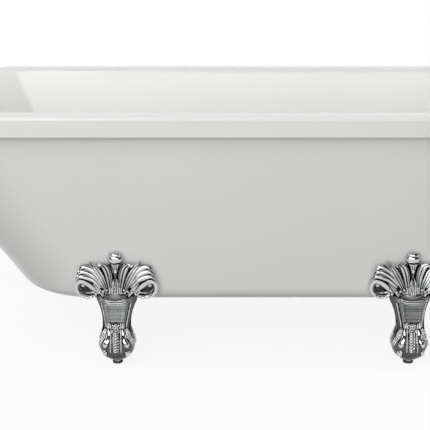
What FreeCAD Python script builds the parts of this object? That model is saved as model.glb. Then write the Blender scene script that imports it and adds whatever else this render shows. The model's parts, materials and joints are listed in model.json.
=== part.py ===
"""Freestanding bath with a sloping rounded head end and a square tap end, on four claw-and-ball legs.

Frame: millimetres, Z up, origin on the floor under the middle of the rim. +X points to the tap end,
-X to the head end, and -Y to the long side that faces the room.
"""
import FreeCAD, Part
import math
import os
import Sketcher

Vector = FreeCAD.Vector

SIZES = (
    ("bath_length", 1695, "rim, end to end"),
    ("bath_width", 740, "rim, side to side"),
    ("rim_height", 600, "top of the rim above the floor"),
    ("rim_head_flat", 10, "straight part of the rim's head end, middle to either corner"),
    ("rim_tap_radius", 90, "plan corner radius of the rim at the tap end"),
    ("rim_plate", 6, "thickness of the flat rim"),
    ("rim_edge_round", 10, "rounding of the rim's outer edge"),
    ("rim_inner_round", 14, "rounding where the rim drops into the basin"),
    ("lip_depth", 46, "height of the lip that hangs from the rim"),
    ("lip_wall", 6, "thickness of the lip"),
    ("side_rim", 57, "rim width along both sides"),
    ("head_rim", 62, "rim width at the head end"),
    ("tap_rim", 122, "rim width at the tap end"),
    ("basin_wall", 6, "thickness of the basin's sheet"),
    ("basin_floor", 195, "height of the basin floor above the ground"),
    ("basin_side_draft", 88, "how far each side wall leans in from rim to floor"),
    ("basin_head_slope", 355, "how far the head wall leans in from rim to floor"),
    ("basin_floor_round", 70, "rounding between walls and floor"),
    ("basin_floor_head_flat", 45, "straight part of the floor's head end, middle to either corner"),
    ("basin_tap_radius", 110, "plan corner radius of the basin at the tap end"),
    ("skin_wall", 5, "thickness of the outer skin"),
    ("skin_underside", 138, "height of the skin's flat underside"),
    ("skin_inset", 25, "gap from lip face to skin face under the rim"),
    ("skin_head_inset", 47, "the same gap at the head end"),
    ("skin_side_draft", 62, "how far each side of the skin leans in from top to underside"),
    ("skin_tap_draft", 22, "how far the tap end of the skin leans in"),
    ("skin_head_slope", 364, "how far the head end of the skin leans in"),
    ("skin_flare_height", 200, "height above the underside of the section that shapes the flare"),
    ("skin_flare_reach", 162, "how far the head end has moved out at that section"),
    ("skin_base_head_flat", 78, "straight part of the underside's head end, middle to either corner"),
    ("skin_base_tap_radius", 110, "plan corner radius of the underside at the tap end"),
    ("skin_round", 38, "rounding between the skin's walls and underside"),
    ("service_length", 150, "opening under the waste, along the bath"),
    ("service_width", 140, "opening under the waste, across the bath"),
    ("batten_thickness", 18, "ring under the rim"),
    ("batten_clearance", 1, "room round the ring"),
    ("board_thickness", 18, "board under the basin floor"),
    ("board_side_setback", 220, "board edge in from the side of the rim"),
    ("board_head_setback", 520, "board end in from the head end of the rim"),
    ("board_waste_gap", 75, "board end in from the waste"),
    ("board_corner", 40, "corner radius of the board"),
    ("head_leg_setback", 655.5, "head legs in from the head end of the rim"),
    ("tap_leg_setback", 351, "tap legs in from the tap end of the rim"),
    ("leg_side_setback", 50, "leg centres in from the side of the rim"),
    ("leg_skin_gap", 0.4, "clearance between a leg and the skin's wall"),
    ("ball_radius", 42.5, "ball of the foot"),
    ("ball_height", 50, "centre of the ball above the floor"),
    ("ball_flat", 9.5, "height of the flat under the ball"),
    ("toe_radius", 7.5, "toes of the claw on the ball"),
    ("talon_length", 15, "talon past a toe's end"),
    ("talon_tip_radius", 1.5, "the same"),
    ("neck_width", 67, "leg at its narrowest"),
    ("neck_depth", 66, "front to back at the narrowest"),
    ("flare_width", 95, "leg where it meets the crown"),
    ("crown_width", 195, "crown over its two scrolls"),
    ("crown_rise", 134, "top of the crown's finial above the skin's underside"),
    ("crown_thickness", 20, "crown in front of the skin's wall"),
    ("scroll_radius", 19, "rolled leaf at each lower corner of the crown"),
    ("tongue_width", 60, "bolting tongue of the leg"),
    ("tongue_thickness", 6, "the same, up and down"),
    ("tongue_reach", 165, "tongue's end in from the leg's centre"),
    ("block_width", 70, "anchor block along the bath"),
    ("block_outer_reach", 82, "anchor block's outer end in from the leg's centre"),
    ("block_inner_reach", 200, "anchor block's inner end in from the leg's centre"),
    ("bolt_radius", 4, "leg bolts"),
    ("bolt_clearance", 0.3, "room round the bolts in their holes"),
    ("bolt_head_width", 13, "bolt heads and nuts across flats"),
    ("bolt_head_height", 5.3, "bolt heads"),
    ("nut_height", 6.5, "nuts"),
    ("bolt_end", 3, "bolt past its nut"),
    ("washer_radius", 10, "washers"),
    ("washer_thickness", 1.6, "washers"),
    ("washer_room", 1, "spot face past a washer's edge"),
    ("spanner_room", 34, "clear height under a leg's tongue for the bolt heads"),
    ("outer_bolt_reach", 110, "outer bolt in from the leg's centre"),
    ("inner_bolt_reach", 152, "inner bolt in from the leg's centre"),
    ("pad_radius", 12, "leveller pad"),
    ("pad_height", 4, "leveller pad"),
    ("leveller_hex_width", 17, "leveller across flats"),
    ("leveller_gap", 0.3, "leveller hexagon to ball at rest"),
    ("stud_radius", 5, "leveller stud"),
    ("stud_clearance", 0.06, "running clearance of the stud"),
    ("stud_length", 36, "leveller stud above its hexagon"),
    ("stud_bore_spare", 14, "bore past the stud's end"),
    ("waste_setback", 272, "waste in from the tap end of the rim"),
    ("waste_hole_radius", 26, "hole in the basin floor"),
    ("seal_setback", 1, "seals in from the edge of the flange that covers them"),
    ("flange_radius", 35, "waste flange"),
    ("flange_thickness", 3, "waste flange"),
    ("flange_seal", 1.5, "seal under the flange"),
    ("sleeve_radius", 24, "sleeve of the flange"),
    ("sleeve_wall", 3.5, "the same"),
    ("sleeve_length", 24, "sleeve below the flange"),
    ("spider_height", 5, "cross bars that guide the plug"),
    ("spider_bar", 4, "width of a cross bar"),
    ("hub_radius", 7, "hub of the cross bars"),
    ("lower_seal", 3, "seal under the basin"),
    ("waste_flange_width", 14, "flange of the waste body past its sleeve"),
    ("waste_flange_height", 5, "the same, up and down"),
    ("waste_body_wall", 5, "waste body"),
    ("waste_clearance", 0.06, "thread room between sleeve and waste body"),
    ("waste_chamber_drop", 62, "chamber below the flange sleeve"),
    ("tail_radius", 21.5, "outlet tail"),
    ("tail_wall", 3, "the same"),
    ("tail_length", 52, "the same"),
    ("plug_radius", 27, "plug cap"),
    ("plug_height", 5, "plug cap"),
    ("plug_round", 2.5, "rounding of the cap"),
    ("plug_seal_height", 2, "seal under the cap"),
    ("plug_seal_width", 6, "the same"),
    ("plug_gap", 0.3, "closed seal above its seat"),
    ("stem_radius", 3, "plug stem"),
    ("stem_clearance", 0.08, "running clearance of the stem"),
    ("lever_drop", 34, "lever axis below the flange sleeve"),
    ("lever_offset", 17, "lever axis beside the plug"),
    ("lever_thickness", 3, "lever"),
    ("lever_width", 8, "the same"),
    ("lever_tip", 7, "lever past the plug's axis"),
    ("lever_heel", 4, "lever behind its axis"),
    ("lever_gap", 0.4, "stem above the lever"),
    ("pin_radius", 2, "lever pin"),
    ("lever_boss_radius", 3.6, "lever round its pin"),
    ("pin_clearance", 0.06, "running clearance of the pin"),
    ("pin_half_length", 27, "lever pin from its middle to either end"),
    ("overflow_drop", 100, "overflow below the rim"),
    ("overflow_hole_radius", 26, "hole in the tap end"),
    ("faceplate_radius", 36, "overflow faceplate"),
    ("faceplate_thickness", 4, "the same"),
    ("faceplate_slots", 6, "water holes in the faceplate"),
    ("faceplate_slot_radius", 4.5, "the same"),
    ("faceplate_slot_circle", 17, "circle of the water holes"),
    ("knob_radius", 30, "overflow knob"),
    ("knob_thickness", 12, "the same"),
    ("knob_round", 3, "rounding of the knob"),
    ("knob_gap", 4, "water gap behind the knob"),
    ("shaft_radius", 4, "knob shaft"),
    ("shaft_hole_radius", 5.2, "hole for the shaft in the faceplate"),
    ("guide_radius", 8, "boss that guides the shaft"),
    ("shaft_clearance", 0.06, "running clearance of the shaft"),
    ("shaft_spare", 3, "shaft past the drum"),
    ("drum_radius", 10, "cable drum"),
    ("drum_width", 8, "the same"),
    ("drum_gap", 4, "drum behind the shaft guide"),
    ("overflow_seal_thickness", 2, "seal behind the tap end"),
    ("overflow_flange_radius", 35, "overflow body"),
    ("overflow_flange_thickness", 4, "the same"),
    ("overflow_neck_wall", 3, "neck through the hole"),
    ("overflow_neck_gap", 0.5, "neck to hole"),
    ("overflow_shell", 3, "wall of the overflow body"),
    ("overflow_depth", 32, "chamber of the overflow body"),
    ("overflow_screw_radius", 1.75, "faceplate screws"),
    ("overflow_screw_circle", 29, "their circle"),
    ("screw_head_radius", 3.2, "their heads"),
    ("screw_head_height", 2, "the same"),
    ("pipe_radius", 12.5, "overflow pipe"),
    ("pipe_wall", 2, "the same"),
    ("pipe_bend", 40, "bend of the overflow pipe"),
    ("pipe_rise", 20, "pipe axis above the inside of the skin's underside"),
    ("socket_wall", 3.4, "sockets that take the pipe"),
    ("socket_clearance", 0.1, "room round the pipe"),
    ("socket_length", 26, "the same"),
    ("pipe_seat", 20, "pipe inside a socket"),
    ("pipe_nut_wall", 3, "nuts on the sockets"),
    ("pipe_nut_length", 14, "the same"),
    ("pipe_nut_clearance", 0.1, "the same"),
    ("cable_radius", 2.5, "cable sheath"),
    ("cable_offset", 22, "cable beside the overflow pipe"),
    ("cable_gap", 0.4, "cable ends to what they enter"),
)

ALIASES = {alias for alias, value, note in SIZES}

doc = FreeCAD.newDocument("bath")
sheet = doc.addObject("Spreadsheet::Sheet", "sizes")
for row, (alias, value, note) in enumerate(SIZES, start=1):
    sheet.set(f"A{row}", note)
    sheet.set(f"B{row}", str(value))
    sheet.setAlias(f"B{row}", alias)
doc.recompute()


def spelled(expression):
    """Writes each size's name in an expression the way the sheet is addressed."""
    words = []
    word = ""
    for character in expression + " ":
        if character.isalnum() or character == "_":
            word += character
            continue
        words.append("sizes." + word if word in ALIASES else word)
        words.append(character)
        word = ""
    return "".join(words).strip()


def amount(expression):
    """The value, in millimetres, of an expression in the sheet's sizes."""
    return float(sheet.evalExpression(spelled(expression)))


def bind(thing, **expressions):
    """Ties properties to sizes; a double underscore in a name stands for the dot of a nested property."""
    for name, expression in expressions.items():
        thing.setExpression(name.replace("__", "."), spelled(expression))


# Levels and places that several pieces share
HALF_LENGTH = "bath_length / 2"
HALF_WIDTH = "bath_width / 2"
RIM_HEAD_RADIUS = "(bath_width / 2 - rim_head_flat)"
FLOOR_HEAD_RADIUS = "(bath_width / 2 - side_rim - basin_side_draft - basin_floor_head_flat)"
BASE_HEAD_RADIUS = "(bath_width / 2 - skin_inset - skin_side_draft - skin_base_head_flat)"
RIM_UNDER = "(rim_height - rim_plate)"
SKIN_TOP = "(rim_height - rim_plate - batten_thickness)"
SKIN_FLOOR = "(skin_underside + skin_wall)"
BASIN_UNDER = "(basin_floor - basin_wall)"
BOARD_UNDER = "(basin_floor - basin_wall - board_thickness)"
TAP_WALL = "(bath_length / 2 - tap_rim)"
LEG_Y = "(bath_width / 2 - leg_side_setback)"
WASTE_X = "(bath_length / 2 - waste_setback)"
FLANGE_UNDER = "(basin_floor + flange_seal)"
FLANGE_TOP = "(basin_floor + flange_seal + flange_thickness)"
SLEEVE_END = "(basin_floor + flange_seal - sleeve_length)"
LEVER_Z = "(basin_floor + flange_seal - sleeve_length - lever_drop)"
CHAMBER_END = "(basin_floor + flange_seal - sleeve_length - waste_chamber_drop)"
OVERFLOW_Z = "(rim_height - overflow_drop)"
BODY_X = "(bath_length / 2 - tap_rim + basin_wall + overflow_seal_thickness)"
SHELL_X = "(bath_length / 2 - tap_rim + basin_wall + overflow_seal_thickness + overflow_flange_thickness)"
SHELL_RADIUS = "(overflow_hole_radius + overflow_shell)"
PIPE_X = f"({SHELL_X} + overflow_depth / 2 + overflow_shell / 2)"
PIPE_Z = "(skin_underside + skin_wall + pipe_rise)"
SOCKET_RADIUS = "(pipe_radius + socket_clearance + socket_wall)"
SCREW_ROOM = "(overflow_screw_radius + bolt_clearance)"
SCREW_COUNT = 2  # faceplate screws, one at either side
BODY_RADIUS = "(sleeve_radius + waste_clearance + waste_body_wall)"
LEGS = {
    "front_left": (f"-({HALF_LENGTH} - head_leg_setback)", -1),
    "front_right": (f"({HALF_LENGTH} - tap_leg_setback)", -1),
    "rear_left": (f"-({HALF_LENGTH} - head_leg_setback)", 1),
    "rear_right": (f"({HALF_LENGTH} - tap_leg_setback)", 1),
}
nodes = []


def keep(thing, label):
    """Marks an object as a finished sub-part under its own name."""
    thing.Label = label
    nodes.append(thing)
    return thing


def place(thing, x="0", y="0", z="0"):
    """Ties an object's position to sizes."""
    bind(thing, Placement__Base__x=x, Placement__Base__y=y, Placement__Base__z=z)
    return thing


ALONG_X = FreeCAD.Rotation(Vector(0, 1, 0), 90)
ALONG_Y = FreeCAD.Rotation(Vector(1, 0, 0), -90)
ALONG_Z = FreeCAD.Rotation()


def rod(name, radius, length, x="0", y="0", z="0", turn=ALONG_Z):
    """A cylinder that starts at a point and runs along one axis."""
    cylinder = doc.addObject("Part::Cylinder", name)
    cylinder.Placement.Rotation = turn
    bind(cylinder, Radius=radius, Height=length)
    return place(cylinder, x, y, z)


def hexagon(name, width, length, x, y, z):
    """A hexagonal prism given across its flats."""
    prism = doc.addObject("Part::Prism", name)
    prism.Polygon = 6
    bind(prism, Circumradius=f"{width} / sqrt(3)", Height=length)
    return place(prism, x, y, z)


def block(name, x_from, x_to, y_from, y_to, z_from, z_to):
    """A box between two corners."""
    box = doc.addObject("Part::Box", name)
    bind(box, Length=f"{x_to} - ({x_from})", Width=f"{y_to} - ({y_from})", Height=f"{z_to} - ({z_from})")
    return place(box, x_from, y_from, z_from)


def fuse(name, *things):
    """Several solids as one."""
    union = doc.addObject("Part::MultiFuse", name)
    union.Shapes = list(things)
    return union


def cut(name, base, *tools):
    """One solid less others."""
    tool = tools[0] if len(tools) == 1 else fuse(name + "_tools", *tools)
    difference = doc.addObject("Part::Cut", name)
    difference.Base = base
    difference.Tool = tool
    return difference


def group(name, things):
    """Separate solids kept in one node."""
    compound = doc.addObject("Part::Compound", name)
    compound.Links = things
    return keep(compound, name)


def ring(name, outer, inner, length, x="0", y="0", z="0", turn=ALONG_Z):
    """A plain tube or washer."""
    return cut(name, rod(name + "_outside", outer, length, x, y, z, turn),
               rod(name + "_bore", inner, length, x, y, z, turn))


def level_edges(shape, level, reach=None):
    """Names of the edges that lie flat at one height, all or only those within a reach of the middle."""
    names = []
    for number, edge in enumerate(shape.Edges, start=1):
        box = edge.BoundBox
        flat = abs(box.ZMin - level) < 0.01 and abs(box.ZMax - level) < 0.01
        inside = reach is None or max(abs(box.YMin), abs(box.YMax)) < reach
        if flat and inside:
            names.append(f"Edge{number}")
    return names


def level_sketch(body, name, level):
    """An empty sketch at one height, in a body or, where there is none, by itself."""
    if body is None:
        return place(doc.addObject("Sketcher::SketchObject", name), z=level)
    sketch = body.newObject("Sketcher::SketchObject", name)
    plane = [feature for feature in body.Origin.OriginFeatures if feature.Role == "XY_Plane"][0]
    sketch.AttachmentSupport = [(plane, "")]
    sketch.MapMode = "FlatFace"
    bind(sketch, AttachmentOffset__Base__z=level)
    return sketch


def round_rims(shape):
    """Names of a cylinder's two circular edges."""
    return [f"Edge{number}" for number, edge in enumerate(shape.Edges, start=1) if edge.isClosed()]


def rounded_solid(name, base, pick, radius):
    """A solid with some of its edges rounded."""
    doc.recompute()
    fillet = doc.addObject("Part::Fillet", name)
    fillet.Base = base
    fillet.Edges = [(int(edge[4:]), amount(radius), amount(radius)) for edge in pick(base.Shape)]
    return fillet


def rounded_section(body, name, level, left, right, half, left_radius, right_radius):
    """A flat outline with straight sides and ends, and one corner radius at each end."""
    sketch = level_sketch(body, name, level)
    x0, x1, y1 = -amount(left), amount(right), amount(half)
    r0, r1 = amount(left_radius), amount(right_radius)
    corners = (
        (x1 - r1, r1 - y1, r1, -90),
        (x1 - r1, y1 - r1, r1, 0),
        (x0 + r0, y1 - r0, r0, 90),
        (x0 + r0, r0 - y1, r0, 180),
    )
    ends = ((x0 + r0, -y1), (x1 - r1, -y1), (x1, r1 - y1), (x1, y1 - r1),
            (x1 - r1, y1), (x0 + r0, y1), (x0, y1 - r0), (x0, r0 - y1))
    for side, (x, y, radius, start) in enumerate(corners):
        first, second = ends[2 * side], ends[2 * side + 1]
        sketch.addGeometry(Part.LineSegment(Vector(*first, 0), Vector(*second, 0)))
        circle = Part.Circle(Vector(x, y, 0), Vector(0, 0, 1), radius)
        sketch.addGeometry(Part.ArcOfCircle(circle, math.radians(start), math.radians(start + 90)))
    constraint = Sketcher.Constraint
    rules = [constraint("Tangent", edge, 2, (edge + 1) % 8, 1) for edge in range(8)]
    rules += [constraint("Horizontal", 0), constraint("Vertical", 2)]
    rules += [constraint("Horizontal", 4), constraint("Vertical", 6)]
    rules += [constraint("Equal", 1, 3), constraint("Equal", 5, 7)]
    sketch.addConstraint(rules)
    sized = (
        ("left", constraint("DistanceX", 6, 1, -1, 1, -x0), left),
        ("right", constraint("DistanceX", -1, 1, 2, 1, x1), right),
        ("front", constraint("DistanceY", 0, 1, -1, 1, y1), half),
        ("back", constraint("DistanceY", -1, 1, 4, 1, y1), half),
        ("left_radius", constraint("Radius", 5, r0), left_radius),
        ("right_radius", constraint("Radius", 1, r1), right_radius),
    )
    for label, rule, expression in sized:
        number = sketch.addConstraint(rule)
        sketch.renameConstraint(number, label)
        sketch.setExpression("Constraints." + label, spelled(expression))
    return sketch


def raised(name, sketch, height):
    """An outline drawn straight up."""
    solid = doc.addObject("Part::Extrusion", name)
    solid.Base = sketch
    solid.DirMode = "Normal"
    solid.Solid = True
    bind(solid, LengthFwd=height)
    return solid


def lofted(name, sections, bottom, radius):
    """A solid through level outlines, with the edge round its bottom rounded."""
    solid = doc.addObject("Part::Loft", name + "_loft")
    solid.Sections = sections
    solid.Solid = True
    return rounded_solid(name, solid, lambda shape: level_edges(shape, amount(bottom)), radius)


def pocket(body, name, sketch, depth, upward):
    """Cuts an outline up or down from its own level."""
    feature = body.newObject("PartDesign::Pocket", name)
    feature.Profile = sketch
    feature.Reversed = upward
    bind(feature, Length=depth)
    doc.recompute()
    return feature


def basin_solid(name, spare, top):
    """The basin from its floor up to a level, grown outwards by a wall thickness."""
    bottom = f"basin_floor - {spare}"
    floor = rounded_section(
        None, name + "_floor", bottom, f"{HALF_LENGTH} - head_rim - basin_head_slope + {spare}",
        f"{TAP_WALL} + {spare}", f"{HALF_WIDTH} - side_rim - basin_side_draft + {spare}",
        f"{FLOOR_HEAD_RADIUS} + {spare}", f"basin_tap_radius + {spare}")
    mouth = rounded_section(
        None, name + "_mouth", top, f"{HALF_LENGTH} - head_rim + {spare}", f"{TAP_WALL} + {spare}",
        f"{HALF_WIDTH} - side_rim + {spare}", f"{RIM_HEAD_RADIUS} - side_rim + {spare}",
        f"basin_tap_radius + {spare}")
    return lofted(name, [floor, mouth], bottom, f"basin_floor_round + {spare}")


def inner_tub():
    """Bathing shell: flat rim with a hanging lip, and the basin, with holes for waste and overflow."""
    outline = (HALF_LENGTH, HALF_LENGTH, HALF_WIDTH, RIM_HEAD_RADIUS, "rim_tap_radius")
    inset = [f"{value} - lip_wall" for value in outline]
    lip_end = "rim_height - lip_depth"
    slab = raised("rim_slab", rounded_section(None, "rim_outline", lip_end, *outline), "lip_depth")
    top = amount("rim_height")
    edged = rounded_solid("rim_edged", slab, lambda shape: level_edges(shape, top), "rim_edge_round")
    hollow = rounded_section(None, "lip_outline", lip_end, *inset)
    under = raised("lip_space", hollow, "lip_depth - rim_plate")
    outside = basin_solid("basin_outside", "basin_wall", f"{RIM_UNDER} + rim_plate / 2")
    inside = basin_solid("basin_inside", "0", "rim_height")
    drain = rod("waste_hole", "waste_hole_radius", "basin_wall", WASTE_X, "0", BASIN_UNDER)
    spill = rod("overflow_hole", "overflow_hole_radius", "basin_wall", TAP_WALL, "0", OVERFLOW_Z, ALONG_X)
    screws = circle_of_rods("tub_screw_hole", SCREW_COUNT, "overflow_screw_circle", SCREW_ROOM, "basin_wall",
                            TAP_WALL)
    shell = fuse("tub_shell", cut("rim_shell", edged, under), outside)
    tub = cut("tub_open", shell, inside, drain, spill, *screws)
    mouth = amount(f"{HALF_WIDTH} - side_rim + rim_plate / 2")
    soft = rounded_solid("inner_tub", tub, lambda shape: level_edges(shape, top, mouth), "rim_inner_round")
    return keep(soft, "inner_tub")


def skin_solid(name, spare):
    """The skin lofted from underside to top, drawn in by a wall thickness, its bottom edge rounded."""
    share = f"(skin_flare_height / ({SKIN_TOP} - skin_underside))"
    head_top = f"({HALF_LENGTH} - skin_head_inset)"
    tap_top = f"({HALF_LENGTH} - skin_inset)"
    half_top = f"({HALF_WIDTH} - skin_inset)"
    head_radius_top = f"({RIM_HEAD_RADIUS} - skin_inset)"
    tap_radius_top = "(rim_tap_radius - skin_inset)"
    bottom = f"skin_underside + {spare}"
    levels = (
        (bottom, f"{head_top} - skin_head_slope", "0"),
        ("skin_underside + skin_flare_height", f"{head_top} - skin_head_slope + skin_flare_reach", share),
        (SKIN_TOP, head_top, "1"),
    )
    sections = []
    for number, (level, head, part) in enumerate(levels):
        sections.append(rounded_section(
            None, f"{name}_{number}", level, f"{head} - {spare}",
            f"{tap_top} - skin_tap_draft * (1 - {part}) - {spare}",
            f"{half_top} - skin_side_draft * (1 - {part}) - {spare}",
            f"{BASE_HEAD_RADIUS} + ({head_radius_top} - {BASE_HEAD_RADIUS}) * {part} - {spare}",
            f"skin_base_tap_radius + ({tap_radius_top} - skin_base_tap_radius) * {part} - {spare}"))
    return lofted(name, sections, bottom, f"skin_round - {spare}")


def outer_skin():
    """Outside shell from under the lip to the underside, open at the top, with service and bolt holes."""
    opening = block("service_opening", f"{WASTE_X} - service_length / 2", f"{WASTE_X} + service_length / 2",
                    "-service_width / 2", "service_width / 2", "skin_underside", SKIN_FLOOR)
    holes = [rod("skin_hole_" + name, "bolt_radius + bolt_clearance", "skin_wall", x, y, "skin_underside")
             for name, x, y in bolt_places()]
    outside, inside = skin_solid("skin_outside", "0"), skin_solid("skin_inside", "skin_wall")
    return keep(cut("outer_skin", outside, inside, opening, *holes), "outer_skin")


def bolt_places():
    """Name and plan position of each leg bolt."""
    places = []
    for leg, (x, side) in LEGS.items():
        for bolt in ("outer", "inner"):
            places.append((f"{leg}_{bolt}", x, f"{side} * ({LEG_Y} - {bolt}_bolt_reach)"))
    return places


def rim_batten():
    """Ring glued under the rim, round the basin, on which the skin's top edge stands."""
    body = doc.addObject("PartDesign::Body", "rim_batten")
    gap = "(lip_wall + batten_clearance)"
    ring_pad = body.newObject("PartDesign::Pad", "batten_ring")
    ring_pad.Profile = rounded_section(
        body, "batten_outline", SKIN_TOP, f"{HALF_LENGTH} - {gap}", f"{HALF_LENGTH} - {gap}",
        f"{HALF_WIDTH} - {gap}", f"{RIM_HEAD_RADIUS} - {gap}", f"rim_tap_radius - {gap}")
    bind(ring_pad, Length="batten_thickness")
    doc.recompute()
    room = "(basin_wall + batten_clearance)"
    hole = rounded_section(
        body, "batten_hole", SKIN_TOP, f"{HALF_LENGTH} - head_rim + {room}", f"{TAP_WALL} + {room}",
        f"{HALF_WIDTH} - side_rim + {room}", f"{RIM_HEAD_RADIUS} - side_rim + {room}",
        f"basin_tap_radius + {room}")
    pocket(body, "batten_opening", hole, "batten_thickness", True)
    return keep(body, "rim_batten")


def base_board():
    """Board bonded under the flat of the basin floor, stopping short of the waste."""
    body = doc.addObject("PartDesign::Body", "base_board")
    pad = body.newObject("PartDesign::Pad", "board")
    pad.Profile = rounded_section(
        body, "board_outline", BOARD_UNDER, f"{HALF_LENGTH} - board_head_setback",
        f"{WASTE_X} - board_waste_gap", f"{HALF_WIDTH} - board_side_setback", "board_corner", "board_corner")
    bind(pad, Length="board_thickness")
    return keep(body, "base_board")


def leg_anchor_blocks():
    """Blocks between the skin's underside and the board, drilled for the leg bolts."""
    blocks = []
    for leg, (x, side) in LEGS.items():
        near = f"({LEG_Y} - block_inner_reach)"
        far = f"({LEG_Y} - block_outer_reach)"
        low, high = (near, far) if side > 0 else (f"-{far}", f"-{near}")
        solid = block("anchor_" + leg, f"{x} - block_width / 2", f"{x} + block_width / 2", low, high,
                      SKIN_FLOOR, BOARD_UNDER)
        holes = [rod("anchor_hole_" + name, "bolt_radius + bolt_clearance", f"{BOARD_UNDER} - {SKIN_FLOOR}",
                     bolt_x, bolt_y, SKIN_FLOOR)
                 for name, bolt_x, bolt_y in bolt_places() if name.startswith(leg)]
        blocks.append(cut("anchor_block_" + leg, solid, *holes))
    return group("leg_anchor_blocks", blocks)


def leg_fasteners():
    """Bolts up through each leg's tongue, with a washer under each head and a nut on each block."""
    bolts, washers, nuts = [], [], []
    head_top = "(skin_underside - tongue_thickness - washer_thickness)"
    for name, x, y in bolt_places():
        head = hexagon("bolt_head_" + name, "bolt_head_width", "bolt_head_height", x, y,
                       f"{head_top} - bolt_head_height")
        shank = rod("bolt_shank_" + name, "bolt_radius",
                    f"{BOARD_UNDER} + nut_height + bolt_end - {head_top} + bolt_head_height / 2", x, y,
                    f"{head_top} - bolt_head_height / 2")
        bolts.append(fuse("bolt_" + name, head, shank))
        washers.append(ring("washer_" + name, "washer_radius", "bolt_radius + bolt_clearance",
                            "washer_thickness", x, y, head_top))
        nut = hexagon("nut_body_" + name, "bolt_head_width", "nut_height", x, y, BOARD_UNDER)
        nuts.append(cut("nut_" + name, nut, rod("nut_bore_" + name, "bolt_radius", "nut_height", x, y,
                                                BOARD_UNDER)))
    group("leg_bolts", bolts)
    group("leg_washers", washers)
    group("leg_nuts", nuts)


def rounded_wire(half_width, front, back, level, corner_share):
    """A level outline of the leg: a rectangle with large round corners."""
    corner = corner_share * min(half_width, (back - front) / 2)
    points = ((-half_width, front), (half_width, front), (half_width, back), (-half_width, back))
    edges = []
    for index, (x, y) in enumerate(points):
        before = Vector(*points[index - 1], level)
        after = Vector(*points[(index + 1) % 4], level)
        here = Vector(x, y, level)
        start = here + (before - here).normalize() * corner
        end = here + (after - here).normalize() * corner
        centre = start + (after - here).normalize() * corner
        middle = centre + (here - centre).normalize() * corner
        edges.append(Part.Arc(start, middle, end).toShape())
        edges.append((end, after + (here - after).normalize() * corner))
    edges = [Part.makeLine(*edge) if isinstance(edge, tuple) else edge for edge in edges]
    return Part.Wire(edges)


WALL_SPARE = 1.3  # how far the block that stands for the skin runs past the leg


def wall_block():
    """The skin's wall and underside as a leg meets them, about the leg's centre, grown by the gap."""
    gap = amount("leg_skin_gap")
    half_base = amount(f"{HALF_WIDTH} - skin_inset - skin_side_draft")
    lean = amount("skin_side_draft") / amount(f"{SKIN_TOP} - skin_underside")
    under = amount("skin_underside")
    leg_y = amount(LEG_Y)
    top = under + amount("crown_rise") * WALL_SPARE
    face = leg_y - half_base - gap * math.hypot(1, lean)
    far = amount("tongue_reach") * WALL_SPARE
    reach = amount("crown_width")
    corner = Vector(-reach, face, under)
    high = Vector(-reach, face - lean * (top - under), top)
    outline = Part.makePolygon([corner, high, Vector(-reach, far, top), Vector(-reach, far, under), corner])
    solid = Part.Face(outline).extrude(Vector(2 * reach, 0, 0))
    edges = [edge for edge in solid.Edges
             if abs(edge.BoundBox.ZMax - under) < 0.01 and abs(edge.BoundBox.YMax - face) < 0.01]
    return solid.makeFillet(amount("skin_round"), edges), face, lean


def capsule(start, end, radius_start, radius_end):
    """A leaf rib: a cone between two round ends."""
    axis = end - start
    body = Part.makeCone(radius_start, radius_end, axis.Length, start, axis)
    return body.fuse([Part.makeSphere(radius_start, start), Part.makeSphere(radius_end, end)])


# Level outlines of the ankle. Height is a share of the way from the ball's centre to the skin's underside,
# half-width a share of the way from neck to flare, front and back are shares of half the neck's depth,
# and the last number says how round the corners are.
ANKLE = (
    (0.12, 0.15, 0.97, 1.03, 0.8),
    (0.50, 0.00, 0.82, 1.10, 0.6),
    (0.75, 0.24, 0.66, 1.70, 0.5),
    (1.00, 0.50, 0.56, 2.70, 0.4),
    (1.30, 1.15, 0.60, 2.70, 0.4),
)
# Leaf plumes of the crown, from the middle outwards: how far across and up the tip lies, as shares of the
# crown's half-width and rise, and the plume's radius as a share of the crown's thickness.
PLUMES = ((0.16, 0.83, 0.40), (0.33, 0.84, 0.45), (0.55, 0.83, 0.50), (0.74, 0.72, 0.55), (0.84, 0.58, 0.55))
PLUME_TAPER = 1.2  # a plume's root against its tip
ROOT_RISE = 0.33  # where the plumes start, as a share of the crown's rise
EAR_RISE = 0.38  # where the rolled leaves lie, as a share of the crown's rise
EAR_STEM_RISE = 0.2  # where the stem of a rolled leaf leaves the ankle
FINIAL_RISE = 0.91  # where the finial's centre lies
FINIAL_SHARE = 0.09  # the finial's radius, as a share of the crown's rise
DOME_SHARE = 0.75  # the apron's radius, as a share of the half flare
TOE_TURNS = (0, 62, 180, -62)  # where the claw's toes lie round the ball, in degrees from the front
TOE_START = 32  # a toe's root, in degrees from the top of the ball
TOE_SWEEP = 72  # how far it bends down round the ball


def toe(turn):
    """A toe of the claw, bent round the ball, with a talon at its end."""
    radius, thickness = amount("ball_radius"), amount("toe_radius")
    centre = Vector(0, 0, amount("ball_height"))
    up = Vector(0, 0, 1)
    outward = Vector(math.sin(turn), -math.cos(turn), 0)
    axis = up.cross(outward)

    def on_ball(degrees):
        angle = math.radians(degrees)
        point = centre + outward * (radius * math.sin(angle)) + up * (radius * math.cos(angle))
        return point, outward * math.cos(angle) - up * math.sin(angle)

    root, along = on_ball(TOE_START)
    finger = Part.Face(Part.Wire([Part.makeCircle(thickness, root, along)])).revolve(centre, axis, TOE_SWEEP)
    tip, onward = on_ball(TOE_START + TOE_SWEEP)
    talon = Part.makeCone(thickness, amount("talon_tip_radius"), amount("talon_length"), tip, onward)
    return finger.fuse(talon)


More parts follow.
